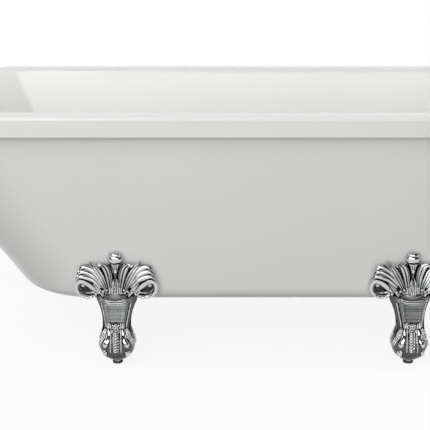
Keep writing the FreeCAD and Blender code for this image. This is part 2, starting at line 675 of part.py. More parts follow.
def leg_casting():
    """One leg about its own centre: ball, claw, ankle, leaf crown against the skin and bolting tongue."""
    under = amount("skin_underside")
    radius, ball_z = amount("ball_radius"), amount("ball_height")
    half_neck, half_flare = amount("neck_width / 2"), amount("flare_width / 2")
    half_depth = amount("neck_depth / 2")
    half_crown, rise, thickness = amount("crown_width / 2"), amount("crown_rise"), amount("crown_thickness")
    scroll = amount("scroll_radius")
    wall, face, lean = wall_block()

    def on_crown(across, share, proud):
        return Vector(across, face - lean * rise * share - proud, under + rise * share)

    ball = Part.makeSphere(radius, Vector(0, 0, ball_z))
    outlines = []
    for up, wide, front, back, corner in ANKLE:
        half_width = half_neck + (half_flare - half_neck) * wide
        level = ball_z + (under - ball_z) * up
        outlines.append(rounded_wire(half_width, -half_depth * front, half_depth * back, level, corner))
    pieces = [Part.makeLoft(outlines, True)] + [toe(math.radians(turn)) for turn in TOE_TURNS]

    root = on_crown(0, ROOT_RISE, thickness / 2)
    for side in (-1, 1):
        for across, up, share in PLUMES:
            size = thickness * share
            tip = on_crown(side * half_crown * across, up, thickness / 2)
            pieces.append(capsule(root, tip, size * PLUME_TAPER, size))
        ear = on_crown(side * (half_crown - scroll), EAR_RISE, 0)
        forward = Vector(0, -thickness, 0)
        pieces.append(Part.makeCylinder(scroll, 2 * thickness, ear - forward, forward))
        stem = on_crown(side * (half_flare - scroll), EAR_STEM_RISE, thickness / 2)
        pieces.append(capsule(stem, ear + forward / 2, scroll * ROOT_RISE * 2, scroll / 2))
    finial = on_crown(0, FINIAL_RISE, thickness / 2)
    pieces.append(capsule(root, finial, rise * FINIAL_SHARE, rise * FINIAL_SHARE / PLUME_TAPER))
    pieces.append(Part.makeSphere(rise * FINIAL_SHARE, finial))
    pieces.append(Part.makeSphere(half_flare * DOME_SHARE, on_crown(0, ROOT_RISE, -half_flare * ROOT_RISE)))

    flat, tongue_under = amount("ball_flat"), amount("skin_underside - tongue_thickness")
    pieces.append(Part.makeBox(amount("tongue_width"), amount("tongue_reach"), amount("tongue_thickness"),
                               Vector(-amount("tongue_width / 2"), 0, tongue_under)))
    solid = ball.fuse(pieces).cut(wall)
    solid = solid.cut(Part.makeBox(4 * radius, 4 * radius, flat, Vector(-2 * radius, -2 * radius, 0)))
    bore_depth = amount("stud_length + stud_bore_spare")
    tools = [Part.makeCylinder(amount("stud_radius + stud_clearance"), bore_depth, Vector(0, 0, flat))]
    for bolt in ("outer", "inner"):
        hole = Vector(0, amount(f"{bolt}_bolt_reach"), tongue_under)
        bolt_room = amount("bolt_radius + bolt_clearance")
        bolt_hole = Part.makeCylinder(bolt_room, amount("tongue_thickness"), hole)
        room = hole - Vector(0, 0, amount("spanner_room"))
        spot_face = Part.makeCylinder(amount("washer_radius + washer_room"), amount("spanner_room"), room)
        tools += [bolt_hole, spot_face]
    solid = solid.cut(tools)
    return max(solid.Solids, key=lambda part: part.Volume)


def legs():
    """Four copies of the casting; the rear pair faces backwards."""
    shape = leg_casting()
    for leg, (x, side) in LEGS.items():
        feature = doc.addObject("Part::Feature", "leg_" + leg)
        feature.Shape = shape
        turn = FreeCAD.Rotation(Vector(0, 0, 1), 0 if side < 0 else 180)
        feature.Placement = FreeCAD.Placement(Vector(amount(x), side * amount(LEG_Y), 0), turn)
        keep(feature, "leg_" + leg)


def levellers():
    """Screwed feet under the balls: a hexagon with a stud, on a round pad."""
    for leg, (x, side) in LEGS.items():
        y = f"{side} * {LEG_Y}"
        hex_top = "(ball_flat - leveller_gap)"
        head = hexagon("leveller_hex_" + leg, "leveller_hex_width", f"{hex_top} - pad_height", x, y,
                       "pad_height")
        stud = rod("leveller_rod_" + leg, "stud_radius", f"stud_length + {hex_top} - pad_height", x, y,
                   "pad_height")
        keep(fuse("leveller_" + leg, head, stud), "leveller_" + leg)
        keep(rod("leveller_pad_" + leg, "pad_radius", "pad_height", x, y, "0"), "leveller_pad_" + leg)


def waste():
    """Outlet through the basin floor: flange, sleeve, two seals and the body with tail and socket."""
    flange = rod("flange_disc", "flange_radius", "flange_thickness", WASTE_X, "0", FLANGE_UNDER)
    sleeve = rod("flange_sleeve", "sleeve_radius", "sleeve_length", WASTE_X, "0", SLEEVE_END)
    bore_radius = "(sleeve_radius - sleeve_wall)"
    bore = rod("flange_bore", bore_radius, f"{FLANGE_TOP} - {SLEEVE_END}", WASTE_X, "0", SLEEVE_END)
    tube = cut("flange_tube", fuse("flange_solid", flange, sleeve), bore)
    half_bar = f"({bore_radius} + sleeve_wall / 2)"
    spider_top = f"{SLEEVE_END} + spider_height"
    along = block("spider_along", f"{WASTE_X} - {half_bar}", f"{WASTE_X} + {half_bar}", "-spider_bar / 2",
                  "spider_bar / 2", SLEEVE_END, spider_top)
    across = block("spider_across", f"{WASTE_X} - spider_bar / 2", f"{WASTE_X} + spider_bar / 2",
                   f"-{half_bar}", half_bar, SLEEVE_END, spider_top)
    hub = rod("spider_hub", "hub_radius", "spider_height", WASTE_X, "0", SLEEVE_END)
    guide = rod("spider_guide", "stem_radius + stem_clearance", "spider_height", WASTE_X, "0", SLEEVE_END)
    keep(cut("waste_flange", fuse("flange_cross", tube, along, across, hub), guide), "waste_flange")
    keep(ring("waste_flange_seal", "flange_radius - seal_setback", "waste_hole_radius", "flange_seal",
              WASTE_X, "0", "basin_floor"), "waste_flange_seal")
    seat = f"({BASIN_UNDER} - lower_seal)"
    socket = "(sleeve_radius + waste_clearance)"
    keep(ring("waste_lower_seal", f"{socket} + waste_flange_width", "waste_hole_radius", "lower_seal",
              WASTE_X, "0", seat), "waste_lower_seal")
    collar = rod("waste_collar", f"{socket} + waste_flange_width", "waste_flange_height", WASTE_X, "0",
                 f"{seat} - waste_flange_height")
    shell = rod("waste_shell", BODY_RADIUS, f"{seat} - {CHAMBER_END} + waste_body_wall", WASTE_X, "0",
                f"{CHAMBER_END} - waste_body_wall")
    tail = rod("waste_tail", "tail_radius", "tail_length", WASTE_X, "0",
               f"{CHAMBER_END} - waste_body_wall - tail_length")
    inlet = rod("waste_inlet", SOCKET_RADIUS, f"{BODY_RADIUS} + socket_length", WASTE_X, "0", PIPE_Z,
                ALONG_X)
    chamber = rod("waste_chamber", socket, f"{seat} - {CHAMBER_END}", WASTE_X, "0", CHAMBER_END)
    outlet = rod("waste_outlet", "tail_radius - tail_wall", "tail_length + waste_body_wall * 2", WASTE_X,
                 "0", f"{CHAMBER_END} - waste_body_wall - tail_length")
    inlet_bore = rod("waste_inlet_bore", "pipe_radius + socket_clearance", f"{BODY_RADIUS} + socket_length",
                     WASTE_X, "0", PIPE_Z, ALONG_X)
    pin_hole = rod("waste_pin_hole", "pin_radius + pin_clearance", "pin_half_length * 2",
                   f"{WASTE_X} + lever_offset", "-pin_half_length", LEVER_Z, ALONG_Y)
    solid = fuse("waste_solid", collar, shell, tail, inlet)
    keep(cut("waste_body", solid, chamber, outlet, inlet_bore, pin_hole), "waste_body")


def pop_up():
    """Plug, seal and stem that rise together, and the lever on its pin that lifts them."""
    seal_z = f"({FLANGE_TOP} + plug_gap)"
    cap_z = f"({seal_z} + plug_seal_height)"
    cap = rod("plug_cap", "plug_radius", "plug_height", WASTE_X, "0", cap_z)
    cap_top = amount(f"{cap_z} + plug_height")
    keep(rounded_solid("plug", cap, lambda shape: level_edges(shape, cap_top), "plug_round"), "plug")
    bore_radius = "(sleeve_radius - sleeve_wall)"
    keep(ring("plug_seal", f"{bore_radius} + plug_seal_width / 2", f"{bore_radius} - plug_seal_width / 2",
              "plug_seal_height", WASTE_X, "0", seal_z), "plug_seal")
    stem_end = f"({LEVER_Z} + lever_thickness / 2 + lever_gap)"
    keep(rod("plug_stem", "stem_radius", f"{cap_z} - {stem_end}", WASTE_X, "0", stem_end), "plug_stem")
    axis_x = f"({WASTE_X} + lever_offset)"
    bar = block("lever_bar", f"{WASTE_X} - lever_tip", f"{axis_x} + lever_heel", "-lever_width / 2",
                "lever_width / 2", f"{LEVER_Z} - lever_thickness / 2", f"{LEVER_Z} + lever_thickness / 2")
    boss = rod("lever_boss", "lever_boss_radius", "lever_width", axis_x, "-lever_width / 2", LEVER_Z, ALONG_Y)
    hole = rod("lever_hole", "pin_radius", "lever_width", axis_x, "-lever_width / 2", LEVER_Z, ALONG_Y)
    keep(cut("lift_lever", fuse("lever_solid", bar, boss), hole), "lift_lever")
    keep(rod("lever_pin", "pin_radius", "pin_half_length * 2", axis_x, "-pin_half_length", LEVER_Z, ALONG_Y),
         "lever_pin")


SLOT_TURN = 30  # first water hole of the faceplate, in degrees from the screws


def circle_of_rods(name, count, circle, radius, length, x, start=0):
    """Like rods along X, evenly spaced round the overflow's axis from a start in degrees."""
    rods = []
    for number in range(count):
        angle = f"{start + 360 * number / count:g} deg"
        rods.append(rod(f"{name}_{number}", radius, length, x, f"{circle} * cos({angle})",
                        f"{OVERFLOW_Z} + {circle} * sin({angle})", ALONG_X))
    return rods


def overflow():
    """Faceplate and knob inside the tap end; seal, body, guide and cable drum behind it."""
    plate_x = f"({TAP_WALL} - faceplate_thickness)"
    plate = rod("faceplate_disc", "faceplate_radius", "faceplate_thickness", plate_x, "0", OVERFLOW_Z,
                ALONG_X)
    centre = rod("faceplate_hole", "shaft_hole_radius", "faceplate_thickness", plate_x, "0", OVERFLOW_Z,
                 ALONG_X)
    slots = circle_of_rods("faceplate_slot", int(amount("faceplate_slots")), "faceplate_slot_circle",
                           "faceplate_slot_radius", "faceplate_thickness", plate_x, SLOT_TURN)
    plate_screws = circle_of_rods("faceplate_screw_hole", SCREW_COUNT, "overflow_screw_circle", SCREW_ROOM,
                                  "faceplate_thickness", plate_x)
    keep(cut("overflow_faceplate", plate, centre, *slots, *plate_screws), "overflow_faceplate")

    guide_end = f"({BODY_X} + overflow_flange_thickness)"
    drum_x = f"({guide_end} + drum_gap)"
    knob_x = f"({plate_x} - knob_gap - knob_thickness)"
    disc = rod("knob_disc", "knob_radius", "knob_thickness", knob_x, "0", OVERFLOW_Z, ALONG_X)
    rounded = rounded_solid("knob_rounded", disc, round_rims, "knob_round")
    shaft_x = f"({knob_x} + knob_thickness / 2)"
    shaft = rod("knob_shaft", "shaft_radius", f"{drum_x} + drum_width + shaft_spare - {shaft_x}", shaft_x,
                "0", OVERFLOW_Z, ALONG_X)
    keep(fuse("overflow_knob", rounded, shaft), "overflow_knob")
    keep(ring("cable_drum", "drum_radius", "shaft_radius", "drum_width", drum_x, "0", OVERFLOW_Z, ALONG_X),
         "cable_drum")

    wall_back = f"({TAP_WALL} + basin_wall)"
    seal = ring("overflow_seal_ring", "overflow_flange_radius - seal_setback", "overflow_hole_radius",
                "overflow_seal_thickness", wall_back, "0", OVERFLOW_Z, ALONG_X)
    seal_holes = circle_of_rods("seal_hole", SCREW_COUNT, "overflow_screw_circle", SCREW_ROOM,
                                "overflow_seal_thickness", wall_back)
    keep(cut("overflow_seal", seal, *seal_holes), "overflow_seal")

    neck_radius = "(overflow_hole_radius - overflow_neck_gap)"
    neck = rod("overflow_neck", neck_radius, f"{guide_end} - {TAP_WALL}", TAP_WALL, "0", OVERFLOW_Z, ALONG_X)
    flange = rod("overflow_flange", "overflow_flange_radius", "overflow_flange_thickness", BODY_X, "0",
                 OVERFLOW_Z, ALONG_X)
    shell = rod("overflow_shell_outside", SHELL_RADIUS, "overflow_depth + overflow_shell", SHELL_X, "0",
                OVERFLOW_Z, ALONG_X)
    socket_end = f"({OVERFLOW_Z} - {SHELL_RADIUS} - socket_length)"
    socket = rod("overflow_socket", SOCKET_RADIUS, f"{OVERFLOW_Z} - {socket_end}", PIPE_X, "0", socket_end)
    neck_bore = rod("overflow_neck_bore", f"{neck_radius} - overflow_neck_wall",
                    f"{SHELL_X} + overflow_depth - {TAP_WALL}", TAP_WALL, "0", OVERFLOW_Z, ALONG_X)
    chamber = rod("overflow_chamber", "overflow_hole_radius", "overflow_depth", SHELL_X, "0", OVERFLOW_Z,
                  ALONG_X)
    socket_bore = rod("overflow_socket_bore", "pipe_radius + socket_clearance",
                      f"{OVERFLOW_Z} - {socket_end}", PIPE_X, "0", socket_end)
    screw_holes = circle_of_rods("body_screw_hole", SCREW_COUNT, "overflow_screw_circle",
                                 "overflow_screw_radius", "overflow_flange_thickness", BODY_X)
    hollow = cut("overflow_hollow", fuse("overflow_solid", neck, flange, shell, socket), neck_bore, chamber,
                 socket_bore, *screw_holes)
    half_bar = f"({neck_radius} - overflow_neck_wall / 2)"
    bar = block("guide_bar", BODY_X, guide_end, f"-{half_bar}", half_bar, f"{OVERFLOW_Z} - spider_bar / 2",
                f"{OVERFLOW_Z} + spider_bar / 2")
    boss = rod("guide_boss", "guide_radius", "overflow_flange_thickness", BODY_X, "0", OVERFLOW_Z, ALONG_X)
    bore = rod("guide_bore", "shaft_radius + shaft_clearance", "overflow_flange_thickness", BODY_X, "0",
               OVERFLOW_Z, ALONG_X)
    keep(cut("overflow_body", fuse("overflow_guided", hollow, bar, boss), bore), "overflow_body")

    screw_length = f"{guide_end} - {plate_x}"
    heads = circle_of_rods("screw_head", SCREW_COUNT, "overflow_screw_circle", "screw_head_radius",
                           "screw_head_height", f"{plate_x} - screw_head_height")
    shanks = circle_of_rods("screw_shank", SCREW_COUNT, "overflow_screw_circle", "overflow_screw_radius",
                            f"{screw_length} + screw_head_height", f"{plate_x} - screw_head_height")
    group("overflow_screws", [fuse(f"overflow_screw_{number}", head, shank)
                              for number, (head, shank) in enumerate(zip(heads, shanks))])


def bent_run(name, radius, start_x, level, end_x, end_level, bend, y):
    """A level run, a quarter bend and an upright run, as one solid."""
    level_run = rod(name + "_level", radius, f"{end_x} - {bend} - ({start_x})", start_x, y, level, ALONG_X)
    bend_top = f"({level} + {bend})"
    upright = rod(name + "_upright", radius, f"{end_level} - {bend_top}", end_x, y, bend_top)
    elbow = doc.addObject("Part::Torus", name + "_elbow")
    upright_plane = FreeCAD.Rotation(Vector(1, 0, 0), 90)
    elbow.Placement.Rotation = upright_plane.multiply(FreeCAD.Rotation(Vector(0, 0, 1), -90))
    elbow.Angle3 = 90
    bind(elbow, Radius1=bend, Radius2=radius)
    place(elbow, f"{end_x} - {bend}", y, bend_top)
    return fuse(name, level_run, elbow, upright)


def pipes():
    """Overflow pipe between its two sockets with their nuts, and the cable beside it."""
    start = f"({WASTE_X} + {BODY_RADIUS} + socket_length - pipe_seat)"
    end = f"({OVERFLOW_Z} - {SHELL_RADIUS} - socket_length + pipe_seat)"
    outside = bent_run("pipe_outside", "pipe_radius", start, PIPE_Z, PIPE_X, end, "pipe_bend", "0")
    inside = bent_run("pipe_inside", "pipe_radius - pipe_wall", start, PIPE_Z, PIPE_X, end, "pipe_bend", "0")
    keep(cut("overflow_pipe", outside, inside), "overflow_pipe")
    nut_bore = f"({SOCKET_RADIUS} + pipe_nut_clearance)"
    low = ring("waste_pipe_nut", f"{nut_bore} + pipe_nut_wall", nut_bore, "pipe_nut_length",
               f"{WASTE_X} + {BODY_RADIUS} + socket_length - pipe_nut_length", "0", PIPE_Z, ALONG_X)
    high = ring("overflow_pipe_nut", f"{nut_bore} + pipe_nut_wall", nut_bore, "pipe_nut_length", PIPE_X, "0",
                f"{OVERFLOW_Z} - {SHELL_RADIUS} - socket_length")
    group("pipe_nuts", [low, high])
    leave = f"({WASTE_X} + sqrt({BODY_RADIUS} ^ 2 - (cable_offset - cable_radius) ^ 2) + cable_gap)"
    enter = f"({OVERFLOW_Z} - sqrt({SHELL_RADIUS} ^ 2 - (cable_offset - cable_radius) ^ 2) - cable_gap)"
    cable_z = f"({SKIN_FLOOR} + pipe_rise / 2)"
    keep(bent_run("pop_up_cable", "cable_radius", leave, cable_z, PIPE_X, enter, "pipe_bend", "cable_offset"),
         "pop_up_cable")


def check_and_write():
    """Stops on any failed object or bad shape, then writes one file for each sub-part."""
    doc.recompute()
    failed = [thing.Name for thing in doc.Objects if {"Invalid", "Error"} & set(thing.State)]
    failed += [thing.Label for thing in nodes if thing.Shape.isNull() or not thing.Shape.isValid()]
    if failed:
        raise RuntimeError("failed: " + ", ".join(failed))
    os.makedirs("parts", exist_ok=True)
    for thing in nodes:
        thing.Shape.exportStep(f"parts/{thing.Label}.step")
        box = thing.Shape.BoundBox
        print(f"{thing.Label}: {len(thing.Shape.Solids)} solids, {thing.Shape.Volume / 1000:.1f} cm3, "
              f"X {box.XMin:.1f} {box.XMax:.1f} Y {box.YMin:.1f} {box.YMax:.1f} "
              f"Z {box.ZMin:.1f} {box.ZMax:.1f}")


inner_tub()
outer_skin()
rim_batten()
base_board()
leg_anchor_blocks()
legs()
leg_fasteners()
levellers()
waste()
pop_up()
overflow()
pipes()
check_and_write()
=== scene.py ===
"""Looks of a freestanding bath on cast claw-and-ball legs, dressed over its packed construction model."""

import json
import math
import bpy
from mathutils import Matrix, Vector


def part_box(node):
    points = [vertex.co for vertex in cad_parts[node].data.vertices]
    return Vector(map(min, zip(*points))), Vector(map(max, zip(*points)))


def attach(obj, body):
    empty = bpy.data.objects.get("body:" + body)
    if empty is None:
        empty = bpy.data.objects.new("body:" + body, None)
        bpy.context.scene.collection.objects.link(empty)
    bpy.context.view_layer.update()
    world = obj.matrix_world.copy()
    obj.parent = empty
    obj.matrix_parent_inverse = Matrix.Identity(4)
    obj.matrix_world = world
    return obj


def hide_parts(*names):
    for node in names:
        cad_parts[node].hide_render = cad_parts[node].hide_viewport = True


bl_info = {
    "name": "Claw-foot bath looks",
    "version": (1, 0, 0),
    "blender": (4, 5, 0),
    "location": "3D View > Sidebar > Bath",
    "description": "Dresses the packed bath with carved legs, finishes, studio light and a camera",
    "category": "Object",
}

import bmesh
import bpy
from mathutils import Matrix, Vector

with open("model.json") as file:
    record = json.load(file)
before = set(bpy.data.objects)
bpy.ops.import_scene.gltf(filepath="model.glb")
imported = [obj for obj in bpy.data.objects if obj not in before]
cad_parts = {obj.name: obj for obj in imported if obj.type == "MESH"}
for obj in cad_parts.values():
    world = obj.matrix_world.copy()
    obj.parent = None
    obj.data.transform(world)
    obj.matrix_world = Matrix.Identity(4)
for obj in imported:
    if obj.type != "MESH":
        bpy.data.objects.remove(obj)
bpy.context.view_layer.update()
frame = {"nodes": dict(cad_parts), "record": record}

MM = 0.001
FRONT = Vector((0, -1, 0))
LEG_NAMES = ("front_left", "front_right", "rear_left", "rear_right")
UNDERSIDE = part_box("outer_skin")[0].z / MM
NODE_SLOTS = {row["node"]: row["material_slot"] for row in frame["record"]["subparts"]}


def linear(hex_colour):
    """Linear RGBA of an sRGB hex colour."""
    channels = [int(hex_colour[start:start + 2], 16) / 255 for start in (1, 3, 5)]
    return [c / 12.92 if c <= 0.04045 else ((c + 0.055) / 1.055) ** 2.4 for c in channels] + [1.0]


# Shapes

def curve_through(points, steps, closed=False):
    """Points of a smooth curve through the given ones, each a tuple of any length."""
    last = len(points) if closed else len(points) - 1
    made = []
    for start in range(last):
        if closed:
            near = [points[(start + offset) % len(points)] for offset in (-1, 0, 1, 2)]
        else:
            near = [points[min(max(start + offset, 0), last)] for offset in (-1, 0, 1, 2)]
        for step in range(steps):
            t = step / steps
            made.append(tuple(
                b + t * (c - a) / 2 + t * t * (a - 2.5 * b + 2 * c - d / 2)
                + t ** 3 * (1.5 * (b - c) + (d - a) / 2)
                for a, b, c, d in zip(*near)))
    if not closed:
        made.append(tuple(points[-1]))
    return made


def stack(mesh, outlines, closed=False):
    """Skins a row of closed outlines and gives the faces between them, one outline after another.

    A closed row joins up, and an open one gets both ends filled.
    """
    loops = [[mesh.verts.new(point) for point in outline] for outline in outlines]
    count = len(loops[0])
    pairs = list(zip(loops, loops[1:]))
    if closed:
        pairs.append((loops[-1], loops[0]))
    made = []
    for near, far in pairs:
        for index in range(count):
            after = (index + 1) % count
            made.append(mesh.faces.new((near[index], near[after], far[after], far[index])))
    if not closed:
        mesh.faces.new(loops[0][::-1])
        mesh.faces.new(loops[-1])
    return made


def turns(count):
    """Angles of even steps round a circle."""
    return [2 * math.pi * step / count for step in range(count)]


def frames_along(path, facing):
    """Place, sideways and outward directions along a path, which turn with it as little as they can."""
    places = [Vector(row[:3]) for row in path]
    made = []
    outward = Vector(facing)
    for index, place in enumerate(places):
        along = places[min(index + 1, len(places) - 1)] - places[max(index - 1, 0)]
        along.normalize()
        outward = (outward - along * outward.dot(along)).normalized()
        made.append((place, along.cross(outward), outward))
    return made


LEAF_STEPS = 12  # outlines between two points of a leaf's spine
LEAF_CUTS = 18  # steps across a leaf
RUNG_DEPTH = 0.55  # how much of a leaf's relief is lost between its rungs
BEAD_FINE = 3.0  # beads below this radius, in millimetres, take fewer faces
SHARP = math.radians(50)  # edges that fold by more than this stay sharp


def leaf(mesh, spine, facing=FRONT, ribs=1, rungs=0, depth=1.5, crown=0.35, thickness=4.0):
    """A carved leaf along a spine of (x, y, z, half width), with ribs along it or rungs across it."""
    path = curve_through(spine, LEAF_STEPS)
    outlines = []
    for number, (place, sideways, outward) in enumerate(frames_along(path, facing)):
        width = path[number][3]
        share = number / (len(path) - 1)
        rung = 1 - RUNG_DEPTH * abs(math.cos(math.pi * rungs * share)) if rungs else 1
        front, back = [], []
        for cut in range(LEAF_CUTS + 1):
            side = 2 * cut / LEAF_CUTS - 1
            arch = 1 - side * side
            ridge = depth * min(1, width / (2 * depth)) * abs(math.sin(ribs * math.pi * (side + 1) / 2))
            middle = place + sideways * (width * side)
            front.append(middle + outward * (rung * (crown * width * arch + ridge)))
            back.append(middle - outward * (thickness * math.sqrt(arch)))
        outlines.append(front + back[-2:0:-1])
    stack(mesh, outlines)


def tube(mesh, spine, facing=FRONT, sides=16, closed=False):
    """A round bar along a spine of (x, y, z, radius)."""
    outlines = []
    for (place, sideways, outward), row in zip(frames_along(spine, facing), spine):
        outlines.append([place + (sideways * math.cos(a) + outward * math.sin(a)) * row[3]
                         for a in turns(sides)])
    stack(mesh, outlines, closed)


def bead(mesh, place, radius, squash=(1, 1, 1)):
    """A small rounded drop."""
    matrix = Matrix.Translation(place) @ Matrix.Diagonal((*(radius * share for share in squash), 1))
    fineness = 2 if radius < BEAD_FINE else 3
    bmesh.ops.create_icosphere(mesh, subdivisions=fineness, radius=1, matrix=matrix)


def mesh_from(shape, name, materials):
    """A smooth-shaded mesh with its finishes, from surfaces given in millimetres."""
    bmesh.ops.scale(shape, vec=(MM, MM, MM), verts=shape.verts)
    bmesh.ops.recalc_face_normals(shape, faces=shape.faces)
    data = bpy.data.meshes.new(name)
    shape.to_mesh(data)
    shape.free()
    data.shade_smooth()
    data.set_sharp_from_angle(angle=SHARP)
    for material in materials:
        data.materials.append(material)
    return data


def place_piece(data, name, body, matrix):
    """Puts a mesh in the scene as a piece on a body."""
    piece = bpy.data.objects.new(name, data)
    bpy.context.scene.collection.objects.link(piece)
    piece.matrix_world = matrix
    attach(piece, body)
    return piece


# Finishes

FACTOR, FIRST, SECOND, MIXED = 0, 6, 7, 2  # a Mix node's sockets for colours: three inputs and the output


def node(tree, kind, inputs, **settings):
    """Adds a node with its settings; an input given as a socket is linked and any other is set."""
    made = tree.nodes.new(kind)
    for name, value in settings.items():
        setattr(made, name, value)
    for name, value in inputs.items():
        if isinstance(value, bpy.types.NodeSocket):
            tree.links.new(value, made.inputs[name])
        else:
            made.inputs[name].default_value = value
    return made


def finish(name, **sockets):
    """A new material with its shader's own sockets set; also gives its tree, shader and coordinates."""
    material = bpy.data.materials.new(name)
    material.use_nodes = True
    tree = material.node_tree
    shader = tree.nodes["Principled BSDF"]
    for socket, value in sockets.items():
        shader.inputs[socket.replace("_", " ")].default_value = value
    place = node(tree, "ShaderNodeTexCoord", {}).outputs["Object"]
    return material, tree, shader, place


def surface(tree, shader, place, tones, roughness, sizes, relief=0.0, mask=None):
    """Colour, roughness and relief that wander in patches; a mask can mix the two tones instead.

    Sizes and relief are in millimetres: the patches of colour, of roughness and of relief, and its depth.
    """
    spots = []
    for size in sizes:
        noise = node(tree, "ShaderNodeTexNoise", {"Vector": place, "Scale": 1 / (size * MM)})
        spots.append(noise.outputs["Fac"])
    first, second = [linear(tone) for tone in tones]
    mixing = {FACTOR: mask or spots[0], FIRST: first, SECOND: second}
    colour = node(tree, "ShaderNodeMix", mixing, data_type="RGBA")
    low, high = roughness
    gloss = node(tree, "ShaderNodeMapRange", {"Value": spots[1], "To Min": low, "To Max": high})
    tree.links.new(colour.outputs[MIXED], shader.inputs["Base Color"])
    tree.links.new(gloss.outputs["Result"], shader.inputs["Roughness"])
    if relief:
        bump = node(tree, "ShaderNodeBump", {"Height": spots[2], "Distance": relief * MM})
        tree.links.new(bump.outputs["Normal"], shader.inputs["Normal"])


def patchy(name, tones, roughness, sizes, relief=0.0, **sockets):
    """A finish whose tone, gloss and relief do no more than wander."""
    material, tree, shader, place = finish(name, **sockets)
    surface(tree, shader, place, tones, roughness, sizes, relief)
    return material


def chrome_with_painted_shade(name, reach, limits, tones, roughness, sizes, relief):
    """Chrome on a casting with painted shade: a dark tone where it is shut in within a reach, and a light
    one in the open.
    """
    material, tree, shader, place = finish(name, Metallic=1.0)
    # painted shade: ambient occlusion within the reach mixes in the dark tone
    open_air = node(tree, "ShaderNodeAmbientOcclusion", {"Distance": reach}, samples=8)
    shut, clear = limits
    share = {"Value": open_air.outputs["AO"], "From Min": shut, "From Max": clear}
    mask = node(tree, "ShaderNodeMapRange", share)
    surface(tree, shader, place, tones, roughness, sizes, relief, mask.outputs["Result"])
    return material


def gloss_acrylic(looks):
    """Vacuum-formed acrylic sheet: deep even gloss over a white body, with a faint pull of the mould."""
    tones = (looks.acrylic_shade, looks.acrylic_tone)
    return patchy("gloss_white_acrylic", tones, roughness=(0.05, 0.11), sizes=(240, 60, 60), relief=0.012,
                  IOR=1.49, Coat_Weight=0.25, Coat_Roughness=0.02)


def cast_chrome(looks):
    """Bright chrome on polished castings: mirror highs, with painted shade darkening the carving's hollows
    to a steel grey.
    """
    # the dark tone is painted shade in the hollows; the light one is the chrome's own
    tones = ("#1A1A1C", "#CCCDCE")
    return chrome_with_painted_shade("cast_leg_chrome", looks.hollow_reach, (0.25, 0.95), tones,
                          roughness=(0.04, 0.10), sizes=(9, 9, 2.5), relief=0.015)


def matted_chrome(looks):
    """Unpolished chrome over ribbed panel and apron: a soft even grey, with painted shade darkening it
    beside the carving.
    """
    # the dark tone is painted shade beside the carving
    tones = ("#171718", "#868788")
    return chrome_with_painted_shade("matted_leg_chrome", looks.shade_reach, (0.2, 0.95), tones,
                          roughness=(0.30, 0.40), sizes=(3, 2, 1.2), relief=0.05)


def painted_shade_chrome(looks):
    """Chrome on ball and coves, painted darker as shade: a deeper grey for floor and bath mirrored in
    shade, darkest under the toes and near the floor.
    """
    # both tones are painted shade: the deeper grey stands in for mirrored shadow, the darkest for shade
    # under toes and near the floor
    tones = ("#1C1C1D", "#5D5E5F")
    return chrome_with_painted_shade("painted_shade_leg_chrome", looks.shade_reach, (0.3, 1.0), tones,
                          roughness=(0.05, 0.12), sizes=(9, 9, 2.5), relief=0.015)


def fitting_chrome(looks):
    """Chrome-plated brass of the bath fittings: a clean mirror, a little hazy in patches."""
    return patchy("fitting_chrome", ("#D6D8DA", "#E6E7E8"), roughness=(0.04, 0.12), sizes=(20, 4),
                  Metallic=1.0)


def zinc_steel(looks):
    """Zinc-plated steel screws and nuts: dull silver with a faint straw bloom and a fine grain."""
    return patchy("zinc_plated_steel", ("#A9ADAF", "#C6C2B4"), roughness=(0.25, 0.45), sizes=(6, 1.5, 0.6),
                  relief=0.02, Metallic=1.0)


def birch_plywood(looks):
    """Sanded birch plywood: straight pale grain on the face, and the plies as stripes on the edge."""
    material, tree, shader, place = finish("birch_plywood")
    fibre_width = 5 * MM
    three_plies = 28 * MM  # the wave runs a little over three times, light and dark, in this length
    stretch = (0.08, 1, 1)
    along = node(tree, "ShaderNodeVectorMath", {0: place, 1: stretch}, operation="MULTIPLY").outputs[0]
    fibre = node(tree, "ShaderNodeTexNoise", {"Vector": along, "Scale": 1 / fibre_width, "Detail": 6.0})
    plies = node(tree, "ShaderNodeTexWave", {"Vector": place, "Scale": 1 / three_plies, "Distortion": 0.4},
                 bands_direction="Z")
    both = node(tree, "ShaderNodeMath", {0: fibre.outputs["Fac"], 1: plies.outputs["Fac"]},
                operation="MULTIPLY")
    surface(tree, shader, along, tones=("#B08A5C", "#DDC09A"), roughness=(0.5, 0.7), sizes=(5, 5, 5),
            relief=0.15, mask=both.outputs[0])
    return material


def black_nylon(looks):
    """Moulded black nylon: a soft sheen over a fine spark-eroded texture."""
    return patchy("black_moulded_nylon", ("#161617", "#232425"), roughness=(0.35, 0.5), sizes=(3, 1.2, 0.8),
                  relief=0.03)


def black_rubber(looks):
    """Moulded rubber seals: matt black with a grey bloom."""
    return patchy("black_seal_rubber", ("#131313", "#262525"), roughness=(0.55, 0.75), sizes=(5, 2, 1),
                  relief=0.03)


def white_polypropylene(looks):
    """Moulded polypropylene pipework: milky white with a waxy, uneven sheen."""
    return patchy("white_moulded_polypropylene", ("#DEDCD4", "#E9E7E1"), roughness=(0.3, 0.45),
                  sizes=(30, 8, 1.5), relief=0.03, IOR=1.49)


def cable_sheath(looks):
    """Extruded PVC cable sheath: smooth dark grey with an uneven gloss."""
    return patchy("grey_cable_sheath", ("#1D1E20", "#2C2D30"), roughness=(0.3, 0.45), sizes=(4, 2))


FINISHES = {
    "white_acrylic": gloss_acrylic,
    "leg_chrome": cast_chrome,
    "waste_chrome": fitting_chrome,
    "zinc_steel": zinc_steel,
    "plywood": birch_plywood,
    "black_nylon": black_nylon,
    "black_rubber": black_rubber,
    "white_polypropylene": white_polypropylene,
    "cable_sheath": cable_sheath,
}
made_finishes = {}


